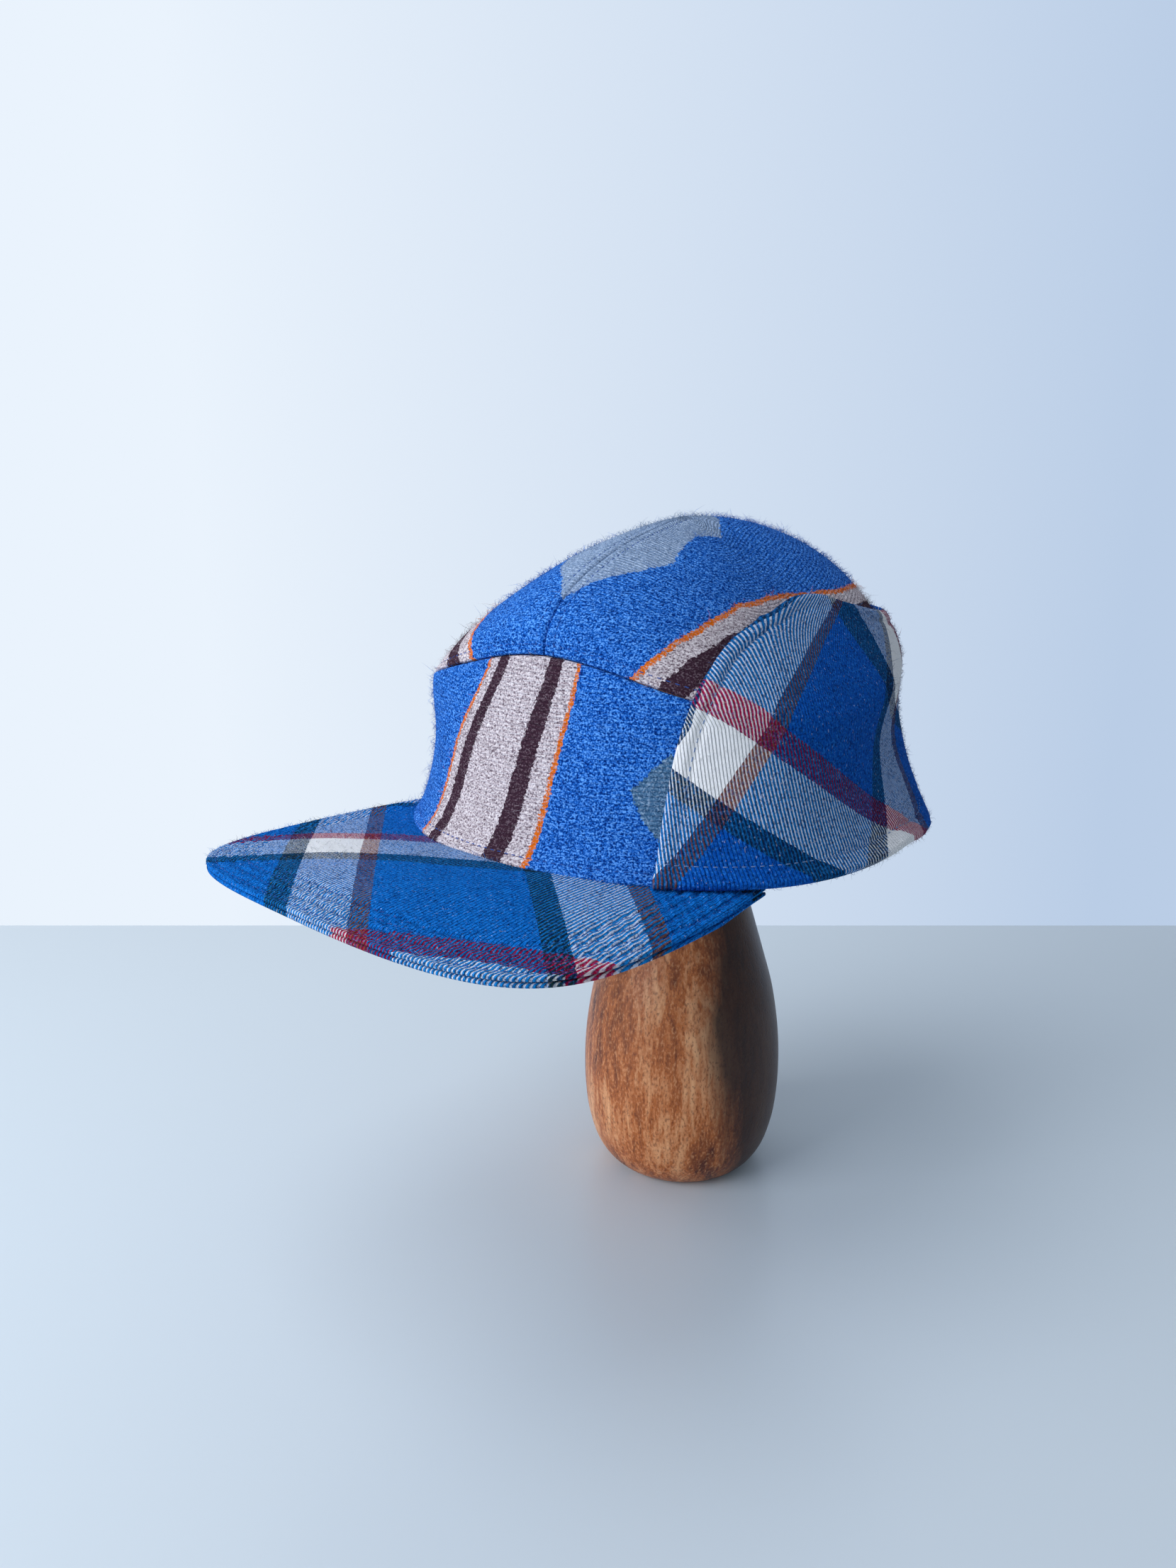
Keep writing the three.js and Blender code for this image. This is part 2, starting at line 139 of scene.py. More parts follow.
def curve(table, value):
    """A smooth value read from a table of (place, value) rows."""
    places, values = np.array(table, float).T
    slopes = np.diff(values) / np.diff(places)
    ends = np.concatenate([slopes[:1], (slopes[1:] + slopes[:-1]) / 2, slopes[-1:]])
    ends[1:-1][slopes[1:] * slopes[:-1] <= 0] = 0
    value = np.clip(value, places[0], places[-1])
    i = np.clip(np.searchsorted(places, value, side="right") - 1, 0, len(places) - 2)
    width = places[i + 1] - places[i]
    t = (value - places[i]) / width
    return ((2 * t**3 - 3 * t**2 + 1) * values[i] + (t**3 - 2 * t**2 + t) * width * ends[i]
            + (3 * t**2 - 2 * t**3) * values[i + 1] + (t**3 - t**2) * width * ends[i + 1])


def mix(low, high, share):
    return low + (high - low) * share


def unit(vectors):
    size = np.linalg.norm(vectors, axis=-1, keepdims=True)
    return vectors / np.maximum(size, 1e-9)


def walked(line):
    """How far along a line each of its points lies."""
    return np.concatenate([[0], np.cumsum(np.linalg.norm(np.diff(line, axis=0), axis=-1))])


def read_off(at, far, rows):
    """Points or directions at some distances along a line."""
    return np.stack([np.interp(at, far, rows[:, k]) for k in range(3)], -1)


def loop(angle, shape):
    """A squared-off ellipse by direction: 0 is the front, a quarter turn the wearer's left."""
    ahead = np.cos(angle) >= 0
    square = np.where(ahead, shape["square"], shape["square_back"])
    along = np.abs(np.cos(angle)) / np.where(ahead, shape["front"], shape["back"])
    side = np.abs(np.sin(angle)) / shape["half"]
    reach = (side**square + along**square) ** (-1 / square)
    return reach * np.sin(angle), -reach * np.cos(angle)


def rim_point(angle):
    x, y = loop(angle, RIM)
    return np.stack([x, y, -RIM_SIDE_DROP * np.sin(angle) ** 2], -1)


def seam_point(angle):
    x, y = loop(angle, SEAM)
    end = np.where(np.cos(angle) >= 0, SEAM_UP_FRONT, SEAM_UP_BACK)
    return np.stack([x, y, mix(SEAM_UP_SIDE, end, np.cos(angle) ** 2)], -1)


def band_point(angle, up):
    low, high = rim_point(angle), seam_point(angle)
    inward = curve(BAND_FLARE, up)
    share = np.stack([inward, inward, up], -1)
    return mix(low, high, share)


def crown_point(angle, up):
    low = seam_point(angle)
    ahead, end = np.cos(angle) >= 0, np.cos(angle) ** 2
    top = mix(CROWN_FULL_TOP["side"],
              np.where(ahead, CROWN_FULL_TOP["front"], CROWN_FULL_TOP["back"]), end)
    foot = mix(CROWN_FULL_FOOT["side"],
               np.where(ahead, CROWN_FULL_FOOT["front"], CROWN_FULL_FOOT["back"]), end)
    turn = np.clip(up, 0, 1) * math.pi / 2
    out = np.maximum(np.cos(turn), 0) ** (2 / top)
    rise = np.sin(turn) ** (2 * foot)
    return np.stack([low[..., 0] * out,
                     low[..., 1] * out + CROWN_TOP_BACK * (1 - out),
                     mix(low[..., 2], CROWN_HEIGHT, rise)], -1)


def cloth_point(angle, level):
    """The cap's outer cloth: level 0 is the rim, 1 the seam and 2 the top."""
    angle, level = np.broadcast_arrays(np.asarray(angle, float), np.asarray(level, float))
    band = band_point(angle, np.clip(level, 0, 1))
    crown = crown_point(angle, np.clip(level - 1, 0, 1))
    point = np.where((level <= 1)[..., None], band, crown)
    depth = np.zeros(angle.shape)
    for at, up, deep, spread, tall in HOLLOWS:
        across = (np.degrees(angle) - at) / spread
        depth += deep * np.exp(-across**2 - ((level - up) / tall) ** 2)
    point[..., 0] -= depth * np.sin(angle)
    point[..., 1] += depth * np.cos(angle)
    return point


def cloth_normal(angle, level):
    step = 0.01
    round_it = cloth_point(angle + step, level) - cloth_point(angle - step, level)
    up = (cloth_point(angle, np.minimum(level + step, 1.98))
          - cloth_point(angle, np.maximum(level - step, 0)))
    return unit(np.cross(round_it, up))


def ripple(points, size, seed):
    """Soft unevenness from -1 to 1 with bumps about this many millimetres across."""
    chance = np.random.default_rng(seed)
    total = np.zeros(points.shape[:-1])
    for _ in range(9):
        way = chance.normal(size=3)
        way *= 2 * math.pi / size / np.linalg.norm(way) * chance.uniform(0.4, 1.1)
        total += np.sin(points @ way + chance.uniform(0, 6.28))
    return total / 4.5


def placed(points):
    """From the cap's own frame to the row frame."""
    turn = math.radians(TILT)
    x, y, z = points[..., 0], points[..., 1], points[..., 2]
    return np.stack([x, y * math.cos(turn) - z * math.sin(turn) - SET_FORWARD,
                     y * math.sin(turn) + z * math.cos(turn) + RIM_HEIGHT], -1)


def spaced(length, pitch, soft=1.1):
    """Places from 0 to 1 along a length, closer together at its two ends."""
    near = np.array([0, 0.06, 0.25, 0.6, 1.0]) * soft / length
    count = max(int((length - 2 * soft) / pitch), 2)
    middle = np.linspace(near[-1], 1 - near[-1], count + 1)[1:-1]
    return np.concatenate([near, middle, 1 - near[::-1]])


def distance_to(line, points):
    """How far each point lies from a line of points."""
    shape = points.shape[:-1]
    flat = points.reshape(-1, points.shape[-1])
    best = np.full(len(flat), 1e9)
    for first, last in zip(line[:-1], line[1:]):
        step = last - first
        share = np.clip((flat - first) @ step / max((step**2).sum(), 1e-9), 0, 1)
        best = np.minimum(best, ((flat - first - share[:, None] * step) ** 2).sum(-1))
    return np.sqrt(best).reshape(shape)


def inside_of(outline, points):
    """How deep each flat point lies inside an outline; below nothing outside it."""
    line = np.array([*outline, outline[0]], float)
    odd = np.zeros(points.shape[:-1], bool)
    x, y = points[..., 0], points[..., 1]
    for (x0, y0), (x1, y1) in zip(line[:-1], line[1:]):
        if y0 != y1:
            crosses = (y0 > y) != (y1 > y)
            odd ^= crosses & (x < x0 + (y - y0) / (y1 - y0) * (x1 - x0))
    return np.where(odd, 1, -1) * distance_to(line, points)


# Meshes


UV_SIZE = 100.0   # millimetres for each unit of a UV map


def new_object(name, verts, faces, layers=()):
    """A piece with its vertices in the row frame. layers: (UV map, value for each vertex)."""
    mesh = bpy.data.meshes.new(name)
    mesh.from_pydata((np.asarray(verts) * MM).tolist(), [], list(faces))
    corner = np.zeros(len(mesh.loops), np.int32)
    mesh.loops.foreach_get("vertex_index", corner)
    for title, values in layers:
        uv = mesh.uv_layers.new(name=title)
        flat = (np.asarray(values).reshape(-1, 2) / UV_SIZE)[corner]
        uv.data.foreach_set("uv", flat.astype(np.float32).ravel())
    mesh.shade_smooth()
    mesh.update()
    piece = bpy.data.objects.new(name, mesh)
    bpy.context.scene.collection.objects.link(piece)
    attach(piece, "root")
    return piece


def grid_faces(index, closed=False):
    """Faces between the neighbours in a grid of vertex numbers, its columns closed or not."""
    here, side = (index, np.roll(index, -1, 0)) if closed else (index[:-1], index[1:])
    return np.stack([here[:, :-1], side[:, :-1], side[:, 1:], here[:, 1:]], -1).reshape(-1, 4)


def cell_areas(points):
    wide, tall = points[1:, :-1] - points[:-1, :-1], points[:-1, 1:] - points[:-1, :-1]
    return np.linalg.norm(np.cross(wide, tall), axis=-1)


def shell(name, middle, normal, thick, edge, layers, relief=0.0, under=0.0, closed=False):
    """A closed soft wall round a middle surface, rounded off at its open edges."""
    half = thick / 2
    fade = np.clip(edge / half, 0, 1)
    puff = half * np.sqrt(1 - (1 - fade) ** 2)
    outer = placed(middle + normal * (puff + relief * fade)[..., None])
    inner = placed(middle - normal * (puff + under * fade)[..., None])
    columns, rows = edge.shape
    top = np.arange(columns * rows).reshape(columns, rows)
    low = top + columns * rows
    low[:, 0], low[:, -1] = top[:, 0], top[:, -1]
    if not closed:
        low[0], low[-1] = top[0], top[-1]
    faces = np.concatenate([grid_faces(top, closed), grid_faces(low, closed)[:, ::-1]])
    verts = np.concatenate([outer.reshape(-1, 3), inner.reshape(-1, 3)])
    doubled = [(title, np.concatenate([np.asarray(v).reshape(-1, 2)] * 2))
               for title, v in layers]
    piece = new_object(name, *without_spares(verts, faces, doubled))
    SURFACES[name] = {"points": outer, "facing": unit(placed(normal) - placed(normal * 0)),
                      "layers": layers}
    return piece


# Each cloth's outer surface as a grid, for the threads and fibres on it
SURFACES = {}


def without_spares(verts, faces, layers):
    """Leaves out vertices that no face uses."""
    used = np.unique(faces)
    number = np.zeros(len(verts), np.int64)
    number[used] = np.arange(len(used))
    return verts[used], number[faces].tolist(), [(t, v[used]) for t, v in layers]


# The cloths' patterns

# The plaid in one direction: red 9 wide, white 22, green 7, blue 44
PLAID_A_REPEAT = 82.0
PLAID_A = [("red", 0.0), ("blue", 4.5), ("green", 48.5), ("white", 55.5), ("red", 77.5)]
# And in the other: brown 6.5 wide, white 22, green 8, blue 50
PLAID_B_REPEAT = 86.5
PLAID_B = [("brown", 0.0), ("blue", 3.25), ("green", 53.25), ("white", 61.25), ("brown", 83.25)]

# The flap is cut on the bias. On its flat pattern, the red line leans down to the back and
# the brown line up to the back; each is given by a point on it and its angle in degrees.
FLAP_RED = (83.0, 51.5, -35.3)
FLAP_BROWN = (57.0, 4.9, 52.7)
FLAP_GATHER_AT = 90.0    # where round the cap the cloth is not gathered
FLAP_GATHER_FROM = 50.0  # it is gathered above this height
FLAP_GATHER = 0.02       # share for each millimetre of height
FLAP_GATHER_REACH = (-60, 90)   # how far round from there it grows
FLAP_GATHER_END = (190, 80)     # where round the cap it fades away, and how slowly
FLAP_DRAWN_OUT = (1.08, 1.17)   # the plaid's scale beyond its red line and its brown line

# On the peak, how far along its red lines' and brown lines' own directions the lines lie
PEAK_RED_WAY = 32.0
PEAK_BROWN_WAY = 136.0
PEAK_A = [(-20, 78.0), (58.6, 0), (85.8, -30), (151.5, -82), (180, -111)]
PEAK_B = [(-200, -98.0), (-131.6, -29.25), (-107.8, 0), (-55.4, 57.25), (-25.7, 86.5), (60, 173)]

# The band's stripe: angles of its left and right orange edge, by share of the way up
STRIPE_LEFT = [(0, -27.0), (0.49, -30.0), (0.98, -21.0)]
STRIPE_RIGHT = [(0, 8.0), (0.49, 9.0), (0.98, 13.0)]
STRIPE_WIDTH = 52.0
# Across the stripe from its first edge, in millimetres
BAND_STRIPE = [("orange", 0), ("taupe", 1.8), ("brown", 6.2), ("taupe", 12.3), ("brown", 35.4),
               ("taupe", 42.6), ("orange", 50.2)]
CROWN_STRIPE = [("orange", 0), ("taupe", 2.2), ("brown", 8.2), ("taupe", 16.5), ("brown", 37),
                ("taupe", 43), ("orange", 48), ("wool", 50)]
# The crown stripe's upper edge: angle, level
CROWN_STRIPE_LINE = [(20, 0.86), (27, 1.01), (31, 1.13), (38, 1.28), (48, 1.413), (60, 1.513),
                     (79, 1.563), (96, 1.563), (118, 1.513), (140, 1.42), (162, 1.28),
                     (180, 1.15)]
# Grey lozenges: half of the crown's from above, and the band's on its flat pattern
CROWN_LOZENGE = [(-1, -57), (7, -46), (16, -36), (22, -24), (18, -10), (16, 0), (20, 10),
                 (10, 24), (-1, 34)]
BAND_LOZENGE = [(43, 30), (57, 42), (71, 30), (71, 26), (55, 12), (48, 20)]


def flap_plaid(round_it, up):
    """Where a point of the flap's flat pattern lies in the plaid."""
    gather = FLAP_GATHER * np.maximum(up - FLAP_GATHER_FROM, 0)
    far = np.clip(round_it - FLAP_GATHER_AT, *FLAP_GATHER_REACH)
    end, slow = FLAP_GATHER_END
    far = far * (1 - np.clip((round_it - end) / slow, 0, 1))
    across = round_it - far * gather
    places = []
    for (x, y, way), sign in ((FLAP_RED, 1), (FLAP_BROWN, -1)):
        turn = math.radians(way)
        places.append(sign * ((up - y) * math.cos(turn) - (across - x) * math.sin(turn)))
    a, b = places
    more_a, more_b = FLAP_DRAWN_OUT
    return np.stack([np.where(a > 0, a * more_a, a), np.where(b < 0, b * more_b, b)], -1)


def peak_plaid(points):
    red, brown = math.radians(PEAK_RED_WAY), math.radians(PEAK_BROWN_WAY)
    x, y = points[..., 0], points[..., 1]
    a = x * math.sin(red) - y * math.cos(red)
    b = x * math.sin(brown) - y * math.cos(brown)
    place_a, value_a = np.array(PEAK_A).T
    place_b, value_b = np.array(PEAK_B).T
    return np.stack([np.interp(a, place_a, value_a), np.interp(b, place_b, value_b)], -1)


def band_stripe(angle, level):
    left, right = curve(STRIPE_LEFT, level), curve(STRIPE_RIGHT, level)
    return (np.degrees(angle) - left) / (right - left) * STRIPE_WIDTH


def crown_stripe(angle, level, points):
    turns, levels = np.array(CROWN_STRIPE_LINE, float).T
    fine = np.linspace(turns[0], turns[-1], 160)
    side = np.where(points[..., 0].mean() < 0, -1, 1)
    line = cloth_point(np.radians(fine) * side, np.interp(fine, turns, levels))
    above = level > np.interp(np.abs(np.degrees(angle)), turns, levels)
    return np.where(above, -1, 1) * distance_to(line, points)


# Materials

HEX = {
    "wool": "1c66c4", "wool_light": "66a8f4", "wool_dark": "082e78",
    "taupe": "cabdc0", "taupe_light": "efe6e6", "taupe_dark": "705e66",
    "brown_wool": "3b2531", "orange": "dc6a12",
    "grey_dark": "7088a8", "grey": "8ba0bd", "grey_light": "b8cae0",
    # Painted shade: the lozenges' grey as it looks in shade, for the band's lozenge
    "grey_painted_shade_dark": "33587a", "grey_painted_shade": "4e7698", "grey_painted_shade_light": "8ca6c0",
    # Painted shade for the flannel: a deeper blue where both yarns are blue, and the dark blue
    # of the shadow between twill lines, which also darkens it at random
    "blue": "0e8adb", "blue_painted_shade": "0c6ce4", "blue_light": "3f9ef2", "gap": "041f5a",
    "white": "fdfcfa", "green": "1d3f3a", "brown": "9c5c34", "red": "b80c34",
    "thread": "1f4c9a", "thread_pale": "6f8cb8",
    "wood_dark": "5e240b", "wood": "bb6832", "wood_light": "efb07c", "wood_dark_side": "220a03",
    # The backdrop's two paper colours are painted light on its left and painted shade on its
    # right
    "board": "d2dadd", "paper_painted_light": "eaf3fd", "paper_painted_shade": "bacde6", "sky": "dbe8fa",
    "daylight": "eef4ff",
}


def linear(name):
    """A colour of the HEX table, or hex digits, as linear red, green, blue and alpha."""
    digits = HEX.get(name, name)
    values = [int(digits[i:i + 2], 16) / 255 for i in (0, 2, 4)]
    return [v / 12.92 if v < 0.04045 else ((v + 0.055) / 1.055) ** 2.4 for v in values] + [1]


class Nodes:
    """A material's node tree, with short calls that add and link nodes."""

    def __init__(self, name):
        self.material = bpy.data.materials.new(name)
        self.material.use_nodes = True
        self.tree = self.material.node_tree
        self.shader = self.tree.nodes["Principled BSDF"]

    def add(self, kind, inputs=(), **settings):
        """Adds a node. inputs: (socket, value or the output that feeds it)."""
        node = self.tree.nodes.new("ShaderNode" + kind)
        for key, value in settings.items():
            setattr(node, key, value)
        self.feed(node, inputs)
        return node

    def feed(self, node, inputs):
        for key, value in inputs:
            if isinstance(value, bpy.types.NodeSocket):
                self.tree.links.new(value, node.inputs[key])
            else:
                node.inputs[key].default_value = value

    def math(self, operation, *values):
        return self.add("Math", enumerate(values), operation=operation).outputs[0]

    def plus(self, one, other):
        return self.math("ADD", one, other)

    def minus(self, one, other):
        return self.math("SUBTRACT", one, other)

    def times(self, one, other):
        return self.math("MULTIPLY", one, other)

    def between(self, value, low, high, most=1.0):
        """0 where the value is at low and beyond, and most where it is at high and beyond."""
        return self.add("MapRange", [(0, value), (1, low), (2, high), (4, most)]).outputs[0]

    def vector(self, operation, *inputs):
        return self.add("VectorMath", inputs, operation=operation).outputs

    def mix(self, share, low, high):
        return self.add("Mix", [(0, share), (6, low), (7, high)], data_type="RGBA").outputs[2]

    def channels(self, colour):
        return self.add("SeparateColor", [(0, colour)]).outputs

    def noise(self, where, scale, detail=2.0, stretch=None):
        """Noise from 0 to 1 with this many bumps for each millimetre."""
        if stretch:
            where = self.vector("MULTIPLY", (0, where), (1, stretch))[0]
        inputs = [("Vector", where), ("Scale", scale), ("Detail", detail)]
        return self.add("TexNoise", inputs).outputs[0]

    def wander(self, where, scale, size):
        """Noise round 0, size from its least to its most."""
        return self.times(self.minus(self.noise(where, scale, 3.0), 0.5), size)

    def place(self):
        """Where a point lies in the row frame, in millimetres."""
        spot = self.add("TexCoord").outputs["Object"]
        return self.vector("SCALE", (0, spot), (3, 1 / MM))[0]

    def sheet(self, title):
        """The two values of a UV map, in millimetres."""
        uv = self.add("UVMap", uv_map=title).outputs[0]
        big = self.vector("SCALE", (0, uv), (3, UV_SIZE))[0]
        return self.add("SeparateXYZ", [(0, big)]).outputs[:2]

    def bands(self, value, rows, low, high):
        """Colours by place: each row is a colour name and where it starts."""
        share = self.math("DIVIDE", self.minus(value, low), high - low)
        ramp = self.add("ValToRGB", [(0, share)])
        ramp.color_ramp.interpolation = "CONSTANT"
        stops = ramp.color_ramp.elements
        for number, (colour, start) in enumerate(rows):
            spot = max((start - low) / (high - low), 0)
            stop = stops[number] if number < 2 else stops.new(spot)
            stop.position = spot
            stop.color = linear(colour)
        return ramp.outputs[0]

    def finish(self, colour, bump, depth, inputs):
        """Links the colour and a bump of this depth in millimetres."""
        raised = self.add("Bump", [("Height", bump), ("Distance", depth * MM)])
        self.feed(self.shader, [("Base Color", colour), ("Normal", raised.outputs[0]), *inputs])
        return self.material


SOFT = [("Roughness", 1.0), ("Specular IOR Level", 0.04)]

FLECK_CONTRAST = 10.5   # how sharply the wool's shades differ
WOOL_RAGGED = 3.4    # how far the edges of the wool's stripes stray
WOOL_RIB = 1.5       # from one rib of the wool to the next
# The wool's colours for the red, green and blue of its stripe's masks: three shades, spread
STRIPE_SHADES = [("taupe_dark", "taupe", "taupe_light", 0.85),
                 ("orange", "orange", "taupe", 0.6),
                 ("brown_wool", "brown_wool", "taupe_dark", 0.8)]
# A stripe's colours are looked up between these two places across it
STRIPE_START, STRIPE_END = -20.0, 80.0
STRIPE_MASKS = {"wool": "000000", "taupe": "ff0000", "orange": "00ff00", "brown": "0000ff"}


def heather(nodes, flecks, dark, middle, light, spread=1.0):
    """Brushed wool of three shades, darker and lighter by its flecks."""
    reach = 1 / (FLECK_CONTRAST * spread)
    shadow = nodes.between(flecks, 0.5, 0.5 - reach)
    shine = nodes.between(flecks, 0.5, 0.5 + reach)
    return nodes.mix(shine, nodes.mix(shadow, linear(middle), linear(dark)), linear(light))


# Wool blanket, brushed and slightly felted: royal blue with a striped and a grey pattern
def wool_material(name, rows, patch):
    nodes = Nodes(name)
    where = nodes.place()
    stripe, up = nodes.sheet("stripe")
    depth = nodes.sheet("patch")[0]
    ragged = nodes.wander(where, 0.9, WOOL_RAGGED)
    fine, crossing = nodes.noise(where, 1.7, 3.0), nodes.noise(where, 0.9, 2.0, (1.0, 1.0, 2.4))
    flecks = nodes.plus(nodes.times(fine, 0.6), nodes.times(crossing, 0.4))
    rows = [("wool", STRIPE_START), *rows]
    ramp = nodes.bands(nodes.plus(stripe, ragged), [(STRIPE_MASKS[c], at) for c, at in rows],
                       STRIPE_START, STRIPE_END)
    inside = nodes.math("GREATER_THAN", nodes.plus(depth, ragged), 0.0)
    colour = nodes.mix(inside, heather(nodes, flecks, "wool_dark", "wool", "wool_light"),
                       heather(nodes, flecks, patch + "_dark", patch, patch + "_light", 0.8))
    for mask, shades in zip(nodes.channels(ramp), STRIPE_SHADES):
        colour = nodes.mix(mask, colour, heather(nodes, flecks, *shades))
    rib = nodes.math("SINE", nodes.times(up, 2 * math.pi / WOOL_RIB))
    bump = nodes.plus(nodes.times(flecks, 1.2), nodes.times(rib, 0.25))
    return nodes.finish(colour, bump, 0.6, SOFT)


TWILL_EDGE = 0.45      # how soft a twill line's edge is, 1 is softest
TWILL_LOOSE = 1.1      # how loosely the lines run
YARN_BLEND = 0.36      # how much the two yarns tint each other
# Where both yarns are blue, which the painted shade deepens: blue less this much green, between
# these two
BLUE_ONLY = (2.2, 0.17, 0.33)


# Brushed cotton flannel, woven as a twill plaid
def flannel_material(name, wale, lean, shadow):
    """wale: from one twill line to the next. shadow: how much painted shade it carries."""
    nodes = Nodes(name)
    where = nodes.place()
    a, b = nodes.sheet("plaid")
    wander = nodes.wander(where, 0.7, 0.9)
    yarns = []
    for value, rows, repeat in ((a, PLAID_A, PLAID_A_REPEAT), (b, PLAID_B, PLAID_B_REPEAT)):
        turns = nodes.math("DIVIDE", nodes.plus(value, wander), repeat)
        across = nodes.times(nodes.math("FRACT", turns), repeat)
        yarns.append(nodes.bands(across, rows, 0.0, repeat))
    diagonal = nodes.math("DIVIDE", nodes.plus(a, nodes.times(b, lean)), wale)
    wave = nodes.math("SINE", nodes.times(diagonal, 2 * math.pi))
    fuzz = nodes.noise(where, 2.2, 3.0)
    loose = nodes.plus(wave, nodes.times(nodes.minus(fuzz, 0.5), TWILL_LOOSE))
    share = nodes.between(loose, -TWILL_EDGE, TWILL_EDGE)
    both = nodes.vector("MULTIPLY", (0, yarns[0]), (1, yarns[1]))[0]
    red, green, blue = nodes.channels(both)
    tinted = nodes.minus(1.0, red)
    upper = nodes.mix(share, *yarns)
    less_green, low, high = BLUE_ONLY
    # Painted shade: where both yarns are blue, a deeper blue, by twice the shadow setting
    blue_shade_share = nodes.between(nodes.minus(blue, nodes.times(green, less_green)), low, high,
                          shadow * 2)
    colour = nodes.mix(blue_shade_share, nodes.mix(YARN_BLEND, upper, both), linear("blue_painted_shade"))
    # Painted shade: the shadow between two lines, and more painted shade on the coloured yarns
    # than on the white ones
    gap = nodes.between(nodes.math("ABSOLUTE", nodes.minus(share, 0.5)), 0.5, 0.05, 0.95)
    painted_yarn_shade = nodes.times(nodes.minus(1.0, nodes.channels(upper)[0]), shadow)
    gap = nodes.times(nodes.math("MAXIMUM", gap, painted_yarn_shade),
                      nodes.math("MULTIPLY_ADD", tinted, 0.6, 0.4))
    colour = nodes.mix(gap, colour, linear("gap"))
    # Flecks, shade and lint
    fleck = nodes.between(nodes.noise(where, 1.3, 3.0), 0.5, 0.66, 0.35)
    colour = nodes.mix(nodes.times(fleck, tinted), colour, linear("blue_light"))
    shade = nodes.between(nodes.noise(where, 1.15), 0.5, 0.34, 0.7)
    colour = nodes.mix(nodes.times(shade, tinted), colour, linear("gap"))
    lint = nodes.between(nodes.noise(where, 0.8, 1.0, (1.6, 1.6, 0.7)), 0.7, 0.75, 0.25)
    colour = nodes.mix(lint, colour, linear("white"))
    return nodes.finish(colour, nodes.plus(nodes.times(wave, 0.5), fuzz), 0.35, SOFT)


# The way in which the stand's wood gets darker, by x, y and z
WOOD_DARK_SIDE = (0.78, 0.62, 0.1)
# The grain runs up the stand, slanting by these angles in radians, and is drawn out along it
WOOD_SLANT, WOOD_STRETCH = (0.5, 0.35, 0.3), (1.0, 1.0, 0.16)


# Oiled walnut, turned: reddish brown with slanting grain, darker towards one side
def walnut_material(name):
    nodes = Nodes(name)
    where = nodes.place()
    slanted = nodes.add("Mapping", [("Vector", where), ("Rotation", WOOD_SLANT),
                                    ("Scale", WOOD_STRETCH)]).outputs[0]
    rings, streaks = nodes.noise(slanted, 0.07, 4.0), nodes.noise(slanted, 0.5, 6.0)
    pores = nodes.noise(where, 1.3, 3.0, (1.0, 1.0, 0.5))
    share = nodes.plus(nodes.times(rings, 0.65), nodes.times(streaks, 0.35))
    ramp = nodes.add("ValToRGB", [(0, share)])
    stops = ramp.color_ramp.elements
    stops[0].position, stops[0].color = 0.36, linear("wood_dark")
    stops[1].position, stops[1].color = 0.64, linear("wood_light")
    stops.new(0.5).color = linear("wood")
    across = nodes.vector("DOT_PRODUCT", (0, where), (1, WOOD_DARK_SIDE))[1]
    dark_side = nodes.between(nodes.plus(across, nodes.times(rings, 26.0)), 24.0, 36.0, 0.93)
    dark = nodes.between(pores, 0.54, 0.66, 0.5)
    colour = nodes.mix(dark, ramp.outputs[0], linear("wood_dark"))
    colour = nodes.mix(nodes.between(pores, 0.46, 0.34, 0.4), colour, linear("wood_light"))
    colour = nodes.mix(dark_side, colour, linear("wood_dark_side"))
    return nodes.finish(colour, nodes.minus(share, dark), 0.12,
                        [("Roughness", 0.38), ("Specular IOR Level", 0.38)])


# Cotton sewing thread
def thread_material(name, colour):
    nodes = Nodes(name)
    twist = nodes.noise(nodes.place(), 4.0, 1.0)
    return nodes.finish(linear(colour), twist, 0.1, [("Roughness", 0.8)])


# The pieces


def groove(far, wide):
    """A soft line, 1 in its middle."""
    return np.exp(-((far / wide) ** 2))


def length_up(points):
    steps = np.linalg.norm(np.diff(points, axis=1, prepend=points[:, :1]), axis=-1)
    return np.cumsum(steps, 1)


def make_band(ply):
    turns = np.linspace(-math.pi, math.pi, BAND_COLUMNS, endpoint=False)
    angle, level = np.meshgrid(turns, spaced(*BAND_GRID), indexing="ij")
    lift = cloth_normal(angle, level)
    middle = cloth_point(angle, level) - lift * ply / 2
    up = length_up(middle)
    edge = np.minimum(up, up[:, -1:] - up)
    turns = angle * WAIST_RADIUS * 2 * math.pi / BAND_PUCKER
    puckers = np.sin(turns + 2 * ripple(middle, 30, 29))
    relief = (0.3 * ripple(middle, 26, 3) - 0.5 * groove(up - BAND_SEAM, 0.6)
              + 0.16 * puckers * groove(up - 3.5, 3.0))
    flat = np.stack([angle * WAIST_RADIUS, up], -1)
    stripe = np.stack([band_stripe(angle, level), up], -1)
    depth = inside_of(BAND_LOZENGE, flat)
    band = shell("band_wool", middle, lift, ply, edge,
                 [("stripe", stripe), ("patch", np.stack([depth, depth], -1))],
                 relief, closed=True)
    SURFACES["band_wool"]["up"] = up
    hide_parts("side_band")
    return band


CROWN_HALF_GAP = 0.15   # between the middle plane and each half of the crown


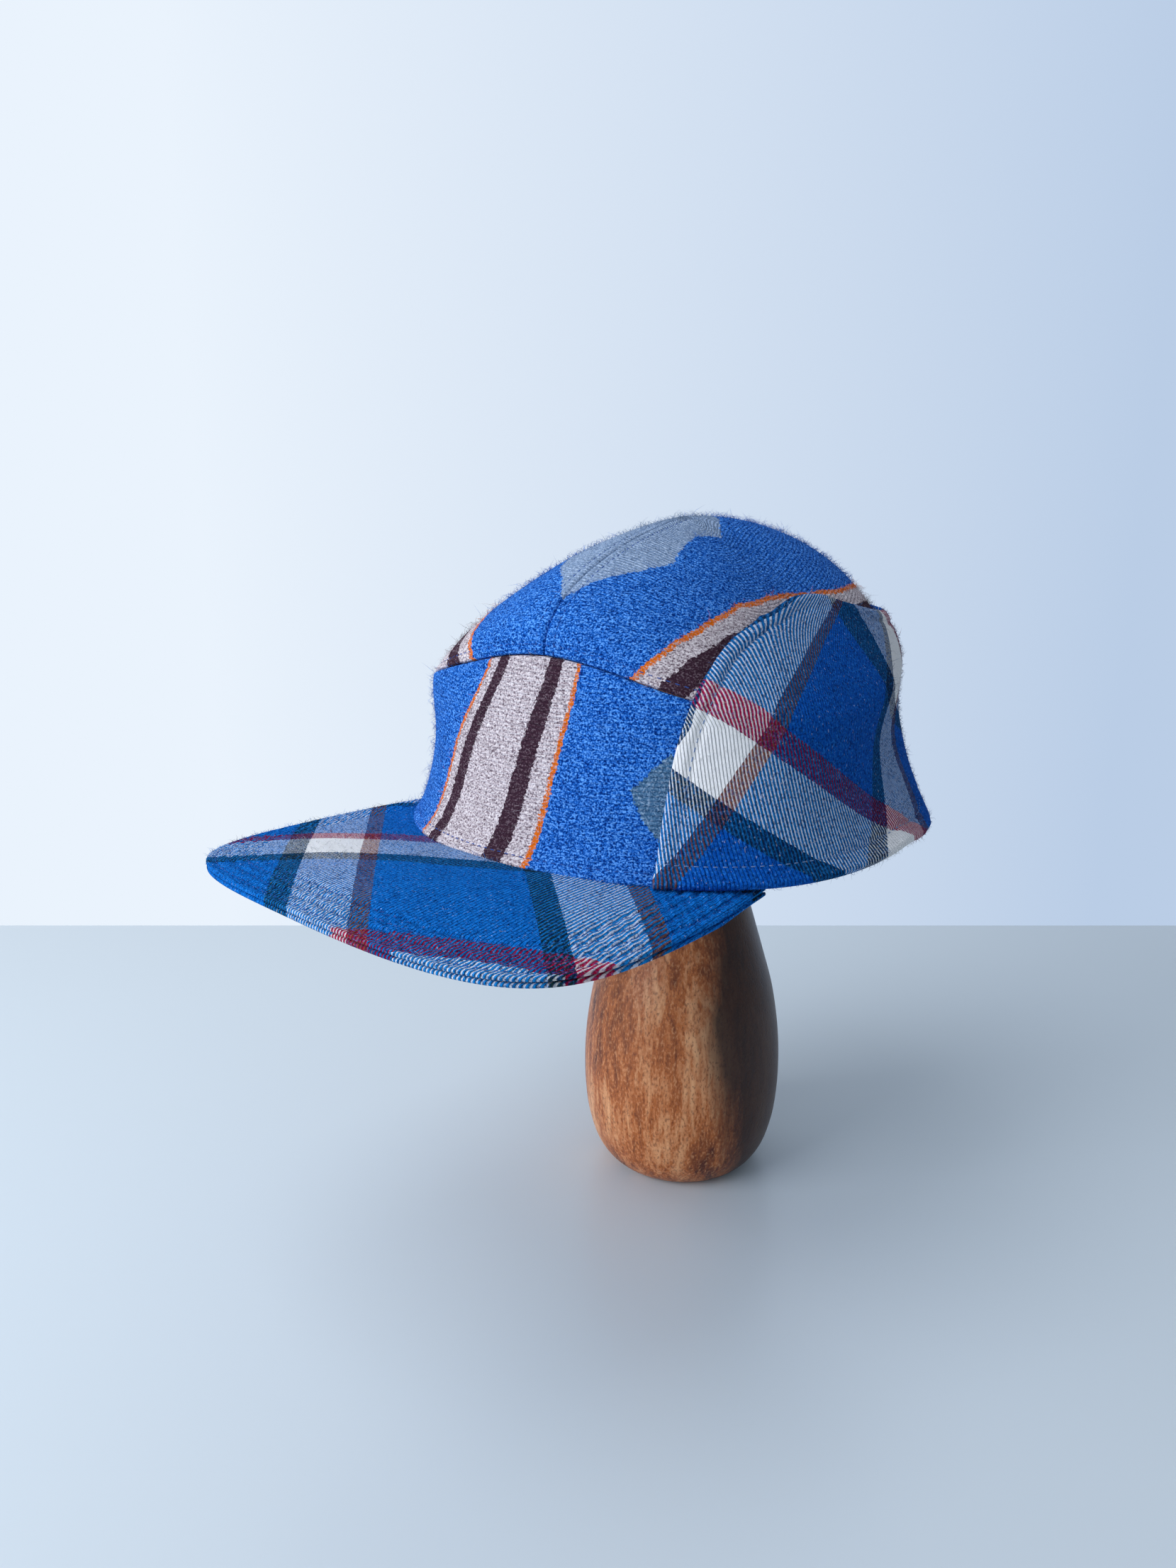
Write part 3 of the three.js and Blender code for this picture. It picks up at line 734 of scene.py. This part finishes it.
def make_crown(side, ply):
    turns = side * spaced(*CROWN_GRID[0]) * math.pi
    angle, level = np.meshgrid(turns, 1 + spaced(*CROWN_GRID[1]), indexing="ij")
    lift = cloth_normal(angle, np.clip(level, 1.03, 1.97))
    outer = cloth_point(angle, level)
    stripe = crown_stripe(angle, level, outer)
    middle = outer - lift * ply / 2
    middle[..., 2] += 0.3
    up = length_up(middle)
    middle[..., 0] = side * np.maximum(side * middle[..., 0], CROWN_HALF_GAP)
    away = np.abs(middle[..., 0]) - CROWN_HALF_GAP
    edge = np.minimum(up, away)
    edge[0], edge[-1], edge[:, -1] = 0, 0, 0
    relief = (0.25 * ripple(middle, 30, 5) - 0.45 * groove(away - CROWN_CENTRE_SEAM, 0.6)
              - 0.5 * groove(up - CROWN_FOOT_SEAM, 0.6))
    flat = np.stack([np.abs(outer[..., 0]), outer[..., 1]], -1)
    depth = inside_of(CROWN_LOZENGE, flat)
    layers = [("stripe", np.stack([stripe, up], -1)),
              ("patch", np.stack([depth, depth], -1))]
    if side < 0:
        middle, lift, edge, relief, up, away = (
            v[::-1] for v in (middle, lift, edge, relief, up, away))
        layers = [(title, values[::-1]) for title, values in layers]
    name, node = (("crown_left_wool", "crown_left") if side > 0
                  else ("crown_right_wool", "crown_right"))
    crown = shell(name, middle, lift, ply, edge, layers, relief)
    SURFACES[name].update(up=up, away=away)
    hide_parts(node)
    return crown


# How far the table of levels goes: degrees round, either way, and millimetres up
TABLE_TURN, TABLE_LENGTH = 200, 130


def level_table():
    """Levels up the cloth for each degree round and each millimetre of length."""
    turns = np.radians(np.arange(-TABLE_TURN, TABLE_TURN + 1))
    levels = np.linspace(0, 1.99, 200)
    reach = length_up(cloth_point(turns[:, None], levels[None]))
    return np.array([np.interp(np.arange(TABLE_LENGTH + 1), row, levels) for row in reach])


def level_at(table, angle, length):
    column = np.clip(np.degrees(angle) + TABLE_TURN, 0, 2 * TABLE_TURN - 0.01)
    row = np.clip(length, 0, TABLE_LENGTH - 0.01)
    i, j = column.astype(int), row.astype(int)
    low = mix(table[i, j], table[i + 1, j], column - i)
    return mix(low, mix(table[i, j + 1], table[i + 1, j + 1], column - i), row - j)


def flap_surface(flap, across, up, table):
    """Middle points and flat pattern of the flap: across runs from -1, the left front edge,
    to 1, the right one, and up from 0, the fold, to 1."""
    side = np.where(across < 0, 1.0, -1.0)
    from_edge = 1 - np.abs(across)
    back = np.where(side > 0, 0, mix(flap.turn_fold, flap.turn_top, up))
    top_angle = mix(FLAP_EDGE[-1][1] + np.where(side > 0, 0, flap.turn_top), 180, from_edge)
    degrees = mix(curve(FLAP_EDGE, up) + back, 180, from_edge)
    share = np.where(side > 0, 1, mix(flap.far_share, 1, from_edge))
    length = flap.height * share * curve(FLAP_TOP, top_angle) * up
    angle = np.radians(side * degrees)
    level = level_at(table, angle, length)
    low = curve(FLAP_FLARE_UP, up)
    out = flap.lie + flap.flare * curve(FLAP_FLARE_ROUND, degrees) * low + flap.thick / 2
    facing = cloth_normal(angle, np.clip(level, FLAP_FOOT, 1.9))
    points = cloth_point(angle, level) + facing * out[..., None]
    points[..., 2] -= flap.droop * curve(FLAP_DROOP_ROUND, degrees) * low
    round_it = np.where(angle < 0, angle + 2 * math.pi, angle) * WAIST_RADIUS
    return points, np.stack([round_it, length], -1), angle


def make_flap(flap):
    along, up = spaced(*FLAP_GRID[0]), spaced(*FLAP_GRID[1])
    across, up = np.meshgrid(along * 2 - 1, up[1:], indexing="ij")
    upper, flat, angle = flap_surface(flap, across, up, level_table())
    # From the band's foot out to the fold
    angle = angle[:, :1]
    facing = cloth_normal(angle, np.full(angle.shape, FLAP_FOOT)) * [1, 1, 0]
    foot = cloth_point(angle, 0 * angle) + unit(facing) * (FLAP_FOOT_GAP + flap.thick / 2)
    shares = np.array([0, 0.15, 0.4, 0.7])[:, None]
    steps = len(shares)
    out = np.linalg.norm(upper[:, :1] - foot, axis=-1)
    middle = np.concatenate([mix(foot, upper[:, :1], shares), upper], 1)
    under = np.stack([np.repeat(flat[:, :1, 0], steps, 1), -out * (1 - shares.T)], -1)
    flat = np.concatenate([under, flat], 1)
    lift = unit(np.cross(np.gradient(middle, axis=0), np.gradient(middle, axis=1)))
    open_edge = np.concatenate([flat[0, steps:], flat[:, -1], flat[-1, :steps - 1:-1]])
    free = distance_to(open_edge[::2], flat)
    edge = np.minimum(free, np.abs(flat[..., 1] - flat[:, :1, 1]))
    edge[0], edge[-1], edge[:, 0], edge[:, -1] = 0, 0, 0, 0
    seam = (groove(free - FLAP_EDGE_SEAM, 0.7)
            + groove(flat[..., 1] - FLAP_FOLD_SEAM, 0.7) * (free > FLAP_EDGE_SEAM))
    roll = groove(free - 3.0, 1.6)
    relief = 0.4 * ripple(middle, 30, 11) - 0.75 * seam + 0.35 * roll
    plaid = flap_plaid(flat[..., 0], flat[..., 1])
    piece = shell("flap_flannel", middle, lift, flap.thick, edge, [("plaid", plaid)], relief)
    SURFACES["flap_flannel"].update(free=free, flat=flat)
    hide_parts("ear_flap")
    return piece


def peak_edge(shares):
    turn = np.linspace(-math.pi / 2, math.pi / 2, 6001)
    across = np.sign(turn) * np.abs(np.sin(turn)) ** (2 / PEAK_SIDE_ROUND)
    ahead = np.maximum(np.cos(turn), 0) ** (2 / PEAK_FRONT_SQUARE)
    reach = RIM["front"] + PEAK_LENGTH - PEAK_ROOT
    width = PEAK_HALF_WIDTH - PEAK_ROOT_NARROW * (1 - ahead) ** 3
    line = np.stack([width * across, -PEAK_ROOT - reach * ahead,
                     PEAK_LIFT * ahead - PEAK_ARCH * across**2], -1)
    far = walked(line)
    return read_off(shares * far[-1], far, line)


# The peak's ends taper over this share of its edge, down to this share of its reach
PEAK_END, PEAK_END_REACH = 0.07, 0.3


def peak_surface(columns, rows, drop):
    """Points of the peak's cloth, from the cap out to its edge."""
    turn = np.radians((columns * 2 - 1) * PEAK_HALF_ANGLE + PEAK_TWIST)
    root = rim_point(turn) * [1 - PEAK_TUCK / RIM["half"], 1 - PEAK_TUCK / RIM["front"], 1]
    spin = math.radians(PEAK_TWIST)
    tip = peak_edge(columns)
    tip = np.stack([tip[:, 0] * math.cos(spin) - tip[:, 1] * math.sin(spin),
                    tip[:, 0] * math.sin(spin) + tip[:, 1] * math.cos(spin), tip[:, 2]], -1)
    ends = np.clip(np.minimum(columns, 1 - columns) / PEAK_END, 0, 1) ** 0.5
    tip = mix(root, tip, mix(PEAK_END_REACH, 1.0, ends)[:, None])
    share = rows[None, :, None]
    points = mix(root[:, None], tip[:, None], share)
    wide = np.minimum(np.linalg.norm(tip - root, axis=-1) / PEAK_LENGTH, 1)[:, None]
    points[..., 2] += PEAK_SWELL * wide * np.sin(math.pi * share[..., 0]) - PEAK_BELOW - drop
    return points


def make_peak(name, node, ply, drop):
    columns, rows = spaced(*PEAK_GRID[0]), spaced(*PEAK_GRID[1])
    middle = peak_surface(columns, rows, drop + ply / 2)
    lift = unit(np.cross(np.gradient(middle, axis=0), np.gradient(middle, axis=1)))
    lift *= np.sign(lift[..., 2:])
    rim = middle[:, -1, :2]
    far = distance_to(rim[::2], middle[..., :2])
    sides = np.concatenate([middle[0, :, :2], rim, middle[-1, ::-1, :2]])
    edge = np.minimum(distance_to(sides, middle[..., :2]),
                      np.linalg.norm(middle - middle[:, :1], axis=-1))
    edge[0], edge[-1], edge[:, 0], edge[:, -1] = 0, 0, 0, 0
    seams = sum(groove(far - at, 0.6) for at in PEAK_STITCH_ROWS)
    along = columns[:, None] * PEAK_GRID[0][0]
    quilted = np.clip((PEAK_STITCH_ROWS[-1] + 3 - far) / 3, 0, 1)
    turns = 2 * math.pi * (along + 0.8 * far) / PEAK_PUCKER
    puckers = np.sin(turns + 2 * ripple(middle, 30, 23))
    relief = (0.3 * ripple(middle, 24, 17) * np.clip(far / 8, 0, 1)
              - 0.75 * seams + 0.28 * puckers * quilted * np.clip(far / 3, 0, 1))
    plaid = peak_plaid(middle)
    middle, lift, edge, relief, plaid, far = (
        v[:, ::-1] for v in (middle, lift, edge, relief, plaid, far))
    piece = shell(name, middle, lift, ply, edge, [("plaid", plaid)], relief, relief)
    SURFACES[name]["far"] = far
    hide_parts(node)
    return piece


def make_stand(stand):
    """The turned body, neck and knob, as rings round the stand's axis."""
    up = np.concatenate([np.linspace(0, 0.06, 14), np.linspace(0.07, 1, 60)])
    out = curve(STAND_ROWS, up) * stand.belly
    height = up * stand.body_height
    top = max(np.array(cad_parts["stand"].bound_box)[:, 2]) / MM
    lowest = -math.acos(min(STAND_ROWS[-1][1] * stand.belly / stand.knob_radius, 1))
    turn = np.linspace(lowest, math.pi / 2, STAND_KNOB_RINGS)[1:-1]
    out = np.concatenate([[1e-3], out, stand.knob_radius * np.cos(turn), [1e-3]])
    height = np.concatenate([[0], height,
                             top - stand.knob_rise * (1 - np.sin(turn)), [top]])
    around = np.linspace(0, 2 * math.pi, STAND_SIDES, endpoint=False)
    verts = np.stack(np.broadcast_arrays(out[None] * np.cos(around)[:, None],
                                         out[None] * np.sin(around)[:, None],
                                         height[None]), -1)
    index = np.arange(verts.shape[0] * verts.shape[1]).reshape(verts.shape[:2])
    piece = new_object("stand_walnut", verts.reshape(-1, 3), grid_faces(index, True).tolist())
    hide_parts("stand")
    return piece


# Threads and fibres


def line_where(values, wanted, points, facing):
    """Points and facings where values pass a wanted value, one for each column of a grid."""
    found = []
    for row, place, out in zip(values, points, facing):
        passed = np.nonzero((row[:-1] - wanted) * (row[1:] - wanted) < 0)[0]
        if len(passed):
            k = passed[0]
            share = (wanted - row[k]) / (row[k + 1] - row[k])
            found.append((mix(place[k], place[k + 1], share), mix(out[k], out[k + 1], share)))
    if len(found) < 2:
        return None
    spots, outs = (np.array(v) for v in zip(*found))
    return spots, unit(outs)


def turned(one, other, turns):
    """Directions at these turns from the first of two directions to the second."""
    return (one[:, None] * np.cos(turns)[None, :, None]
            + other[:, None] * np.sin(turns)[None, :, None])


def stitches(lines, pitch, length, thick):
    """Short threads laid end to end along lines, each one dipping into the cloth at its ends."""
    sides, shares = 6, np.array([0.0, 0.16, 0.5, 0.84, 1.0])
    widths, dips = np.array([0.35, 0.9, 1.0, 0.9, 0.35]), np.array([-0.9, -0.1, 0.2, -0.1, -0.9])
    around = np.linspace(0, 2 * math.pi, sides, endpoint=False)
    verts, quads, caps = [], [], []
    for spots, outs in lines:
        far = walked(spots)
        for start in np.arange(0.4, far[-1] - pitch, pitch):
            at = start + shares * length
            line, out = read_off(at, far, spots), unit(read_off(at, far, outs))
            side = unit(np.cross(out, unit(line[-1:] - line[:1])))
            first = len(verts) * len(shares) * sides
            centre = (line + out * (dips * thick)[:, None])[:, None]
            ring = turned(side, out, around) * (widths * thick / 2)[:, None, None]
            verts.append((centre + ring).reshape(-1, 3))
            index = first + np.arange(len(shares) * sides).reshape(len(shares), sides)
            quads.append(grid_faces(index.T, True))
            caps += [index[0, ::-1].tolist(), index[-1].tolist()]
    return np.concatenate(verts), np.concatenate(quads).tolist() + caps


def line_across(grid, values, part, wanted):
    """A line that runs up the grid, in a part of its columns."""
    points, facing = (grid[key][part].swapaxes(0, 1) for key in ("points", "facing"))
    return line_where(values[part].T, wanted, points, facing)


def line_along(grid, values, wanted):
    return line_where(values, wanted, grid["points"], grid["facing"])


def thread_lines():
    """Where the seams are stitched, on the outer surfaces."""
    crown = []
    for name in ("crown_left_wool", "crown_right_wool"):
        grid = SURFACES[name]
        half = grid["points"].shape[0] // 2
        crown += [line_across(grid, grid["away"], part, CROWN_CENTRE_SEAM)
                  for part in (slice(0, half), slice(half, None))]
        crown.append(line_along(grid, grid["up"], CROWN_FOOT_SEAM))
    band = SURFACES["band_wool"]
    grid = SURFACES["flap_flannel"]
    up = grid["flat"][..., 1]
    half = grid["points"].shape[0] // 2
    beyond = np.where(up > FLAP_FOLD_SEAM + 1, grid["free"], 0)
    flap = [line_along(grid, up, FLAP_FOLD_SEAM)]
    flap += [line_across(grid, beyond, part, FLAP_EDGE_SEAM)
             for part in (slice(0, half), slice(None, half, -1))]
    tacks = []
    for end in (2, -3):
        foot = (up[end] > 0.5) & (up[end] < FLAP_FOLD_SEAM + 0.5)
        tacks.append((grid["points"][end, foot], grid["facing"][end, foot]))
    peak = SURFACES["peak_upper_flannel"]
    lines = {"thread_crown": crown, "thread_band": [line_along(band, band["up"], BAND_SEAM)],
             "thread_flap": flap, "thread_tack": tacks,
             "thread_peak": [line_along(peak, peak["far"], far) for far in PEAK_STITCH_ROWS]}
    return {name: [line for line in found if line] for name, found in lines.items()}


def fibres(name, source, fuzz, count, length, seed):
    """Fine loose fibres that stand out of a cloth, each a thin curved spike with three sides."""
    chance = np.random.default_rng(seed)
    grid = SURFACES[source]
    points, facing = grid["points"], grid["facing"]
    area = cell_areas(points)
    cell = chance.choice(area.size, count, p=area.ravel() / area.sum())
    i, j = np.unravel_index(cell, area.shape)
    p, q = chance.random((2, count, 1))

    def at(values):
        low = mix(values[i, j], values[i + 1, j], p)
        return mix(low, mix(values[i, j + 1], values[i + 1, j + 1], p), q)

    root, out = at(points), unit(at(facing))
    lean = chance.normal(size=(count, 3))
    lean -= out * (lean * out).sum(-1, keepdims=True)
    long = length * chance.gamma(5.0, 0.2, (count, 1))
    way = unit(out * fuzz.stand + unit(lean) * chance.uniform(0.5, 1.3, (count, 1)))
    bend = unit(unit(lean) * 0.7 + chance.normal(size=(count, 3)) * 0.5 - out * 0.25)
    middle = root + way * long * 0.5
    tip = root + way * long * 0.8 + bend * long * 0.4
    side = unit(np.cross(way, bend))
    ring = turned(side, unit(np.cross(way, side)), np.radians([0, 120, 240])) * fuzz.thick / 2
    rings = [centre[:, None] + ring * wider for centre, wider in ((root, 1.0), (middle, 0.8))]
    verts = np.concatenate([*rings, tip[:, None]], 1)
    each = verts.shape[1]
    first = np.arange(count)[:, None, None] * each
    quads = (first + [(0, 1, 4, 3), (1, 2, 5, 4), (2, 0, 3, 5)]).reshape(-1, 4)
    tris = (first + [(3, 4, 6), (4, 5, 6), (5, 3, 6), (2, 1, 0)]).reshape(-1, 3)
    layers = [(title, np.repeat(at(values), each, axis=0)) for title, values in grid["layers"]]
    return new_object(name, verts.reshape(-1, 3), quads.tolist() + tris.tolist(), layers)


# Settings


def setting(name, about, default, least, most, **more):
    return FloatProperty(name=name, description=about, default=default, min=least, max=most,
                         **more)


def in_metres(name, about, default, least, most):
    return setting(name, about, default, least, most, unit="LENGTH")


def in_degrees(name, about, default, least, most):
    """The numbers are given in degrees, and the setting holds radians."""
    return setting(name, about, *np.radians([default, least, most]).tolist(), subtype="ANGLE")


class CapClothSettings(bpy.types.PropertyGroup):
    wool_ply: setting("Wool thickness", "Band and crown, in mm", 2.2, 0.5, 5)
    peak_ply: setting("Peak cloth thickness", "Each of the two, in mm", 1.5, 0.5, 5)
    peak_gap: setting("Peak gap", "Between the two cloths, in mm", 0.3, 0.1, 2)
    wale: setting("Twill wale", "Spacing of the twill lines, in mm", 1.7, 0.5, 4)


class CapFlapSettings(bpy.types.PropertyGroup):
    height: setting("Height", "Up the cloth at the left ear, in mm", 92.5, 20, 120)
    far_share: setting("Right share", "Height of the right half", 0.88, 0.5, 1.2)
    turn_fold: setting("Right edge turn, fold", "Degrees further back", 34.0, 0, 60)
    turn_top: setting("Right edge turn, top", "Degrees further back", 17.0, 0, 60)
    droop: setting("Droop", "How far the fold hangs down, in mm", 7.0, 0, 20)
    flare: setting("Flare", "How far the fold stands out, in mm", 4.5, 0, 20)
    lie: setting("Lie", "Gap to the cap elsewhere, in mm", 1.6, 0.3, 6)
    thick: setting("Thickness", "Two plies, in mm", 2.2, 0.5, 5)


class CapStandSettings(bpy.types.PropertyGroup):
    belly: setting("Belly radius", "In mm", 40.0, 10, 80)
    body_height: setting("Body height", "In mm", 150.0, 50, 300)
    knob_radius: setting("Knob radius", "In mm", 32.0, 20, 60)
    knob_rise: setting("Knob rise", "Half its height, in mm", 24.0, 5, 40)


class CapFuzzSettings(bpy.types.PropertyGroup):
    thick: setting("Fibre thickness", "In mm", 0.11, 0.02, 0.5)
    stand: setting("Stand", "How far fibres stand up, 0 is flat", 0.9, 0, 3)
    wool_length: setting("Wool fibre length", "In mm", 2.4, 0.3, 8)
    flannel_length: setting("Flannel fibre length", "In mm", 1.6, 0.3, 8)
    seed: IntProperty(name="Seed", description="Which fibres", default=7, min=0, max=999)


class CapStageSettings(bpy.types.PropertyGroup):
    azimuth: in_degrees("Azimuth", "The camera's turn round the stand", 38.41, -180, 180)
    pitch: in_degrees("Pitch", "The camera's turn below level", 14.66, -30, 80)
    height: in_metres("Camera height", "In metres", 0.2764, 0, 2)
    ahead: in_metres("Distance", "To the stand, on the level, in metres", 0.4462, 0.1, 3)
    aside: in_metres("Aside", "Stand's place right of the view, metres", 0.0388, -1, 1)
    lens: setting("Lens", "In mm, on a 36 mm long side", 27.03, 10, 200, unit="CAMERA")
    board_end: in_metres("Board's end", "Behind the stand, in metres", 0.255, 0.1, 3)


# Operators


class CAP_OT_stand(bpy.types.Operator):
    """Makes the turned wooden stand"""

    bl_idname = "cap.stand"
    bl_label = "Stand"

    def execute(self, context):
        piece = make_stand(context.scene.cap_stand)
        piece.data.materials.append(walnut_material("walnut"))
        return {"FINISHED"}


class CAP_OT_wool(bpy.types.Operator):
    """Makes the wool band and the two halves of the crown"""

    bl_idname = "cap.wool"
    bl_label = "Band and crown"

    def execute(self, context):
        ply = context.scene.cap_cloth.wool_ply
        # The band's lozenge takes the crown's grey with painted shade, as it lies in the flap's
        # shade
        band_wool = wool_material("wool_band", BAND_STRIPE + [("wool", STRIPE_WIDTH)],
                                  "grey_painted_shade")
        crown_wool = wool_material("wool_crown", CROWN_STRIPE, "grey")
        for piece, paint in ((make_band(ply), band_wool), (make_crown(1, ply), crown_wool),
                             (make_crown(-1, ply), crown_wool)):
            piece.data.materials.append(paint)
        return {"FINISHED"}


# The peak's twill is finer than the flap's, and the flap carries much more painted shade
PEAK_WALE = 0.85
FLAP_SHADOW, PEAK_SHADOW = 0.42, 0.06


class CAP_OT_flannel(bpy.types.Operator):
    """Makes the plaid ear flap and the two cloths of the peak"""

    bl_idname = "cap.flannel"
    bl_label = "Flap and peak"

    def execute(self, context):
        cloth = context.scene.cap_cloth
        flap_paint = flannel_material("flannel_flap_painted_shade", cloth.wale, 1, FLAP_SHADOW)
        peak_paint = flannel_material("flannel_peak", cloth.wale * PEAK_WALE, -1, PEAK_SHADOW)
        ply = cloth.peak_ply
        for piece, paint in (
                (make_flap(context.scene.cap_flap), flap_paint),
                (make_peak("peak_upper_flannel", "peak_upper", ply, 0), peak_paint),
                (make_peak("peak_under_flannel", "peak_under", ply, ply + cloth.peak_gap),
                 peak_paint)):
            piece.data.materials.append(paint)
        return {"FINISHED"}


# From one stitch to the next, the share of it that shows, and the thread's thickness
PEAK_PITCH, SEAM_PITCH, STITCH_SHARE, THREAD_THICK = 2.6, 3.0, 0.66, 0.34


class CAP_OT_threads(bpy.types.Operator):
    """Stitches the seams"""

    bl_idname = "cap.threads"
    bl_label = "Threads"

    def execute(self, context):
        blue = thread_material("thread_blue", "thread")
        paints = {"thread_flap": thread_material("thread_pale", "thread_pale"),
                  "thread_tack": thread_material("thread_white", "white")}
        for name, lines in thread_lines().items():
            pitch = PEAK_PITCH if name == "thread_peak" else SEAM_PITCH
            made = new_object(name, *stitches(lines, pitch, pitch * STITCH_SHARE, THREAD_THICK))
            made.data.materials.append(paints.get(name, blue))
        return {"FINISHED"}


FIBRE_COUNTS = {"band_wool": 9500, "crown_left_wool": 7500, "crown_right_wool": 4500,
                "flap_flannel": 10500, "peak_upper_flannel": 7500}


class CAP_OT_fibres(bpy.types.Operator):
    """Adds the loose fibres of the brushed cloths"""

    bl_idname = "cap.fibres"
    bl_label = "Fibres"

    def execute(self, context):
        fuzz = context.scene.cap_fuzz
        for number, (source, count) in enumerate(FIBRE_COUNTS.items()):
            wool = source.endswith("wool")
            length = fuzz.wool_length if wool else fuzz.flannel_length
            made = fibres("fuzz_" + source, source, fuzz, count, length, fuzz.seed + number)
            made.data.materials.append(bpy.data.objects[source].data.materials[0])
        return {"FINISHED"}


SENSOR = 36.0   # millimetres, along the picture's long side
# The stage's sizes are metres
CLIP = (0.02, 50.0)
BOARD_HALF = 1.5
BACKDROP_SIZE, BACKDROP_BEHIND = 6.0, 1.6
# The backdrop's painted shade, from its lit left to its darker right, runs between these two
# places across it, in millimetres
BACKDROP_PAINTED_SHADE = (-700.0, 900.0)
SKY_STRENGTH = 0.42
LOOK_AT = (0, 0, 0.18)
# Watts, size, and place: along the view, above the board, to the right
LIGHTS = {"window": (12.5, 0.8, -0.55, 0.62, -1.0),
          "skylight": (4.8, 0.7, -0.25, 1.3, -0.45)}


class CAP_OT_stage(bpy.types.Operator):
    """Sets up the board, the backdrop, the lights and the camera"""

    bl_idname = "cap.stage"
    bl_label = "Stage"

    def execute(self, context):
        stage = context.scene.cap_stage
        azimuth, pitch = stage.azimuth, stage.pitch
        right = np.array([math.cos(azimuth), math.sin(azimuth), 0])
        view = np.array([-math.sin(azimuth), math.cos(azimuth), 0])
        spot = -right * stage.aside - view * stage.ahead
        data = bpy.data.cameras.new("camera")
        data.sensor_width, data.lens = SENSOR, stage.lens
        data.clip_start, data.clip_end = CLIP
        camera = bpy.data.objects.new("camera", data)
        camera.location = (spot[0], spot[1], stage.height)
        camera.rotation_euler = (math.pi / 2 - pitch, 0, azimuth)
        context.scene.collection.objects.link(camera)
        context.scene.camera = camera

        def plane(name, size, place, turn, paint):
            bpy.ops.mesh.primitive_plane_add(size=size, location=place, rotation=turn)
            made = context.object
            made.name = name
            made.data.materials.append(paint)

        # Painted board, half matt
        board = Nodes("painted_board")
        board.feed(board.shader, [("Base Color", linear("board")), ("Roughness", 0.3)])
        # Paper backdrop that glows, so that it needs no light of its own, with painted light on
        # its left fading to painted shade on its right
        paper = Nodes("paper_backdrop")
        across = paper.add("SeparateXYZ", [(0, paper.place())]).outputs[0]
        shade = paper.mix(paper.between(across, *BACKDROP_PAINTED_SHADE), linear("paper_painted_light"),
                          linear("paper_painted_shade"))
        paper.feed(paper.shader, [("Base Color", linear("000000")), ("Roughness", 1.0),
                                  ("Specular IOR Level", 0.0), ("Emission Color", shade),
                                  ("Emission Strength", 1.0)])
        middle = view * (stage.board_end - BOARD_HALF)
        plane("floor", 2 * BOARD_HALF, middle.tolist(), (0, 0, azimuth), board.material)
        plane("backdrop", BACKDROP_SIZE, (view * BACKDROP_BEHIND).tolist(),
              (math.pi / 2, 0, azimuth), paper.material)

        world = bpy.data.worlds.new("sky")
        world.use_nodes = True
        sky = world.node_tree.nodes["Background"].inputs
        sky[0].default_value, sky[1].default_value = linear("sky"), SKY_STRENGTH
        context.scene.world = world
        context.scene.view_settings.view_transform = "Standard"
        for name, (watts, size, along, above, aside) in LIGHTS.items():
            light = bpy.data.lights.new(name, "AREA")
            light.energy, light.size = watts, size
            light.color = linear("daylight")[:3]
            lamp = bpy.data.objects.new(name, light)
            place = view * along + right * aside + [0, 0, above]
            lamp.location = place.tolist()
            aim = LOOK_AT - place
            lamp.rotation_euler = (math.atan2(math.hypot(aim[0], aim[1]), -aim[2]), 0,
                                   math.atan2(aim[1], aim[0]) - math.pi / 2)
            context.scene.collection.objects.link(lamp)
        return {"FINISHED"}


class CAP_PT_panel(bpy.types.Panel):
    """Lists the steps that make the cap"""

    bl_label = "Cap"
    bl_space_type = "VIEW_3D"
    bl_region_type = "UI"
    bl_category = "Cap"

    def draw(self, context):
        for operator in OPERATORS:
            self.layout.operator(operator.bl_idname)


GROUPS = {"cap_cloth": CapClothSettings, "cap_flap": CapFlapSettings,
          "cap_stand": CapStandSettings, "cap_fuzz": CapFuzzSettings,
          "cap_stage": CapStageSettings}
OPERATORS = (CAP_OT_stand, CAP_OT_wool, CAP_OT_flannel, CAP_OT_threads, CAP_OT_fibres,
             CAP_OT_stage)


def register():
    for made in (*GROUPS.values(), *OPERATORS, CAP_PT_panel):
        bpy.utils.register_class(made)
    for name, group in GROUPS.items():
        setattr(bpy.types.Scene, name, bpy.props.PointerProperty(type=group))


def unregister():
    for name in GROUPS:
        delattr(bpy.types.Scene, name)
    for made in (CAP_PT_panel, *OPERATORS[::-1], *list(GROUPS.values())[::-1]):
        bpy.utils.unregister_class(made)


def main():
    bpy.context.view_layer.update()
    register()
    bpy.ops.cap.stand()
    bpy.ops.cap.wool()
    bpy.ops.cap.flannel()
    bpy.ops.cap.threads()
    bpy.ops.cap.fibres()
    bpy.ops.cap.stage()
    bpy.context.view_layer.update()


if __name__ == "__main__":
    main()
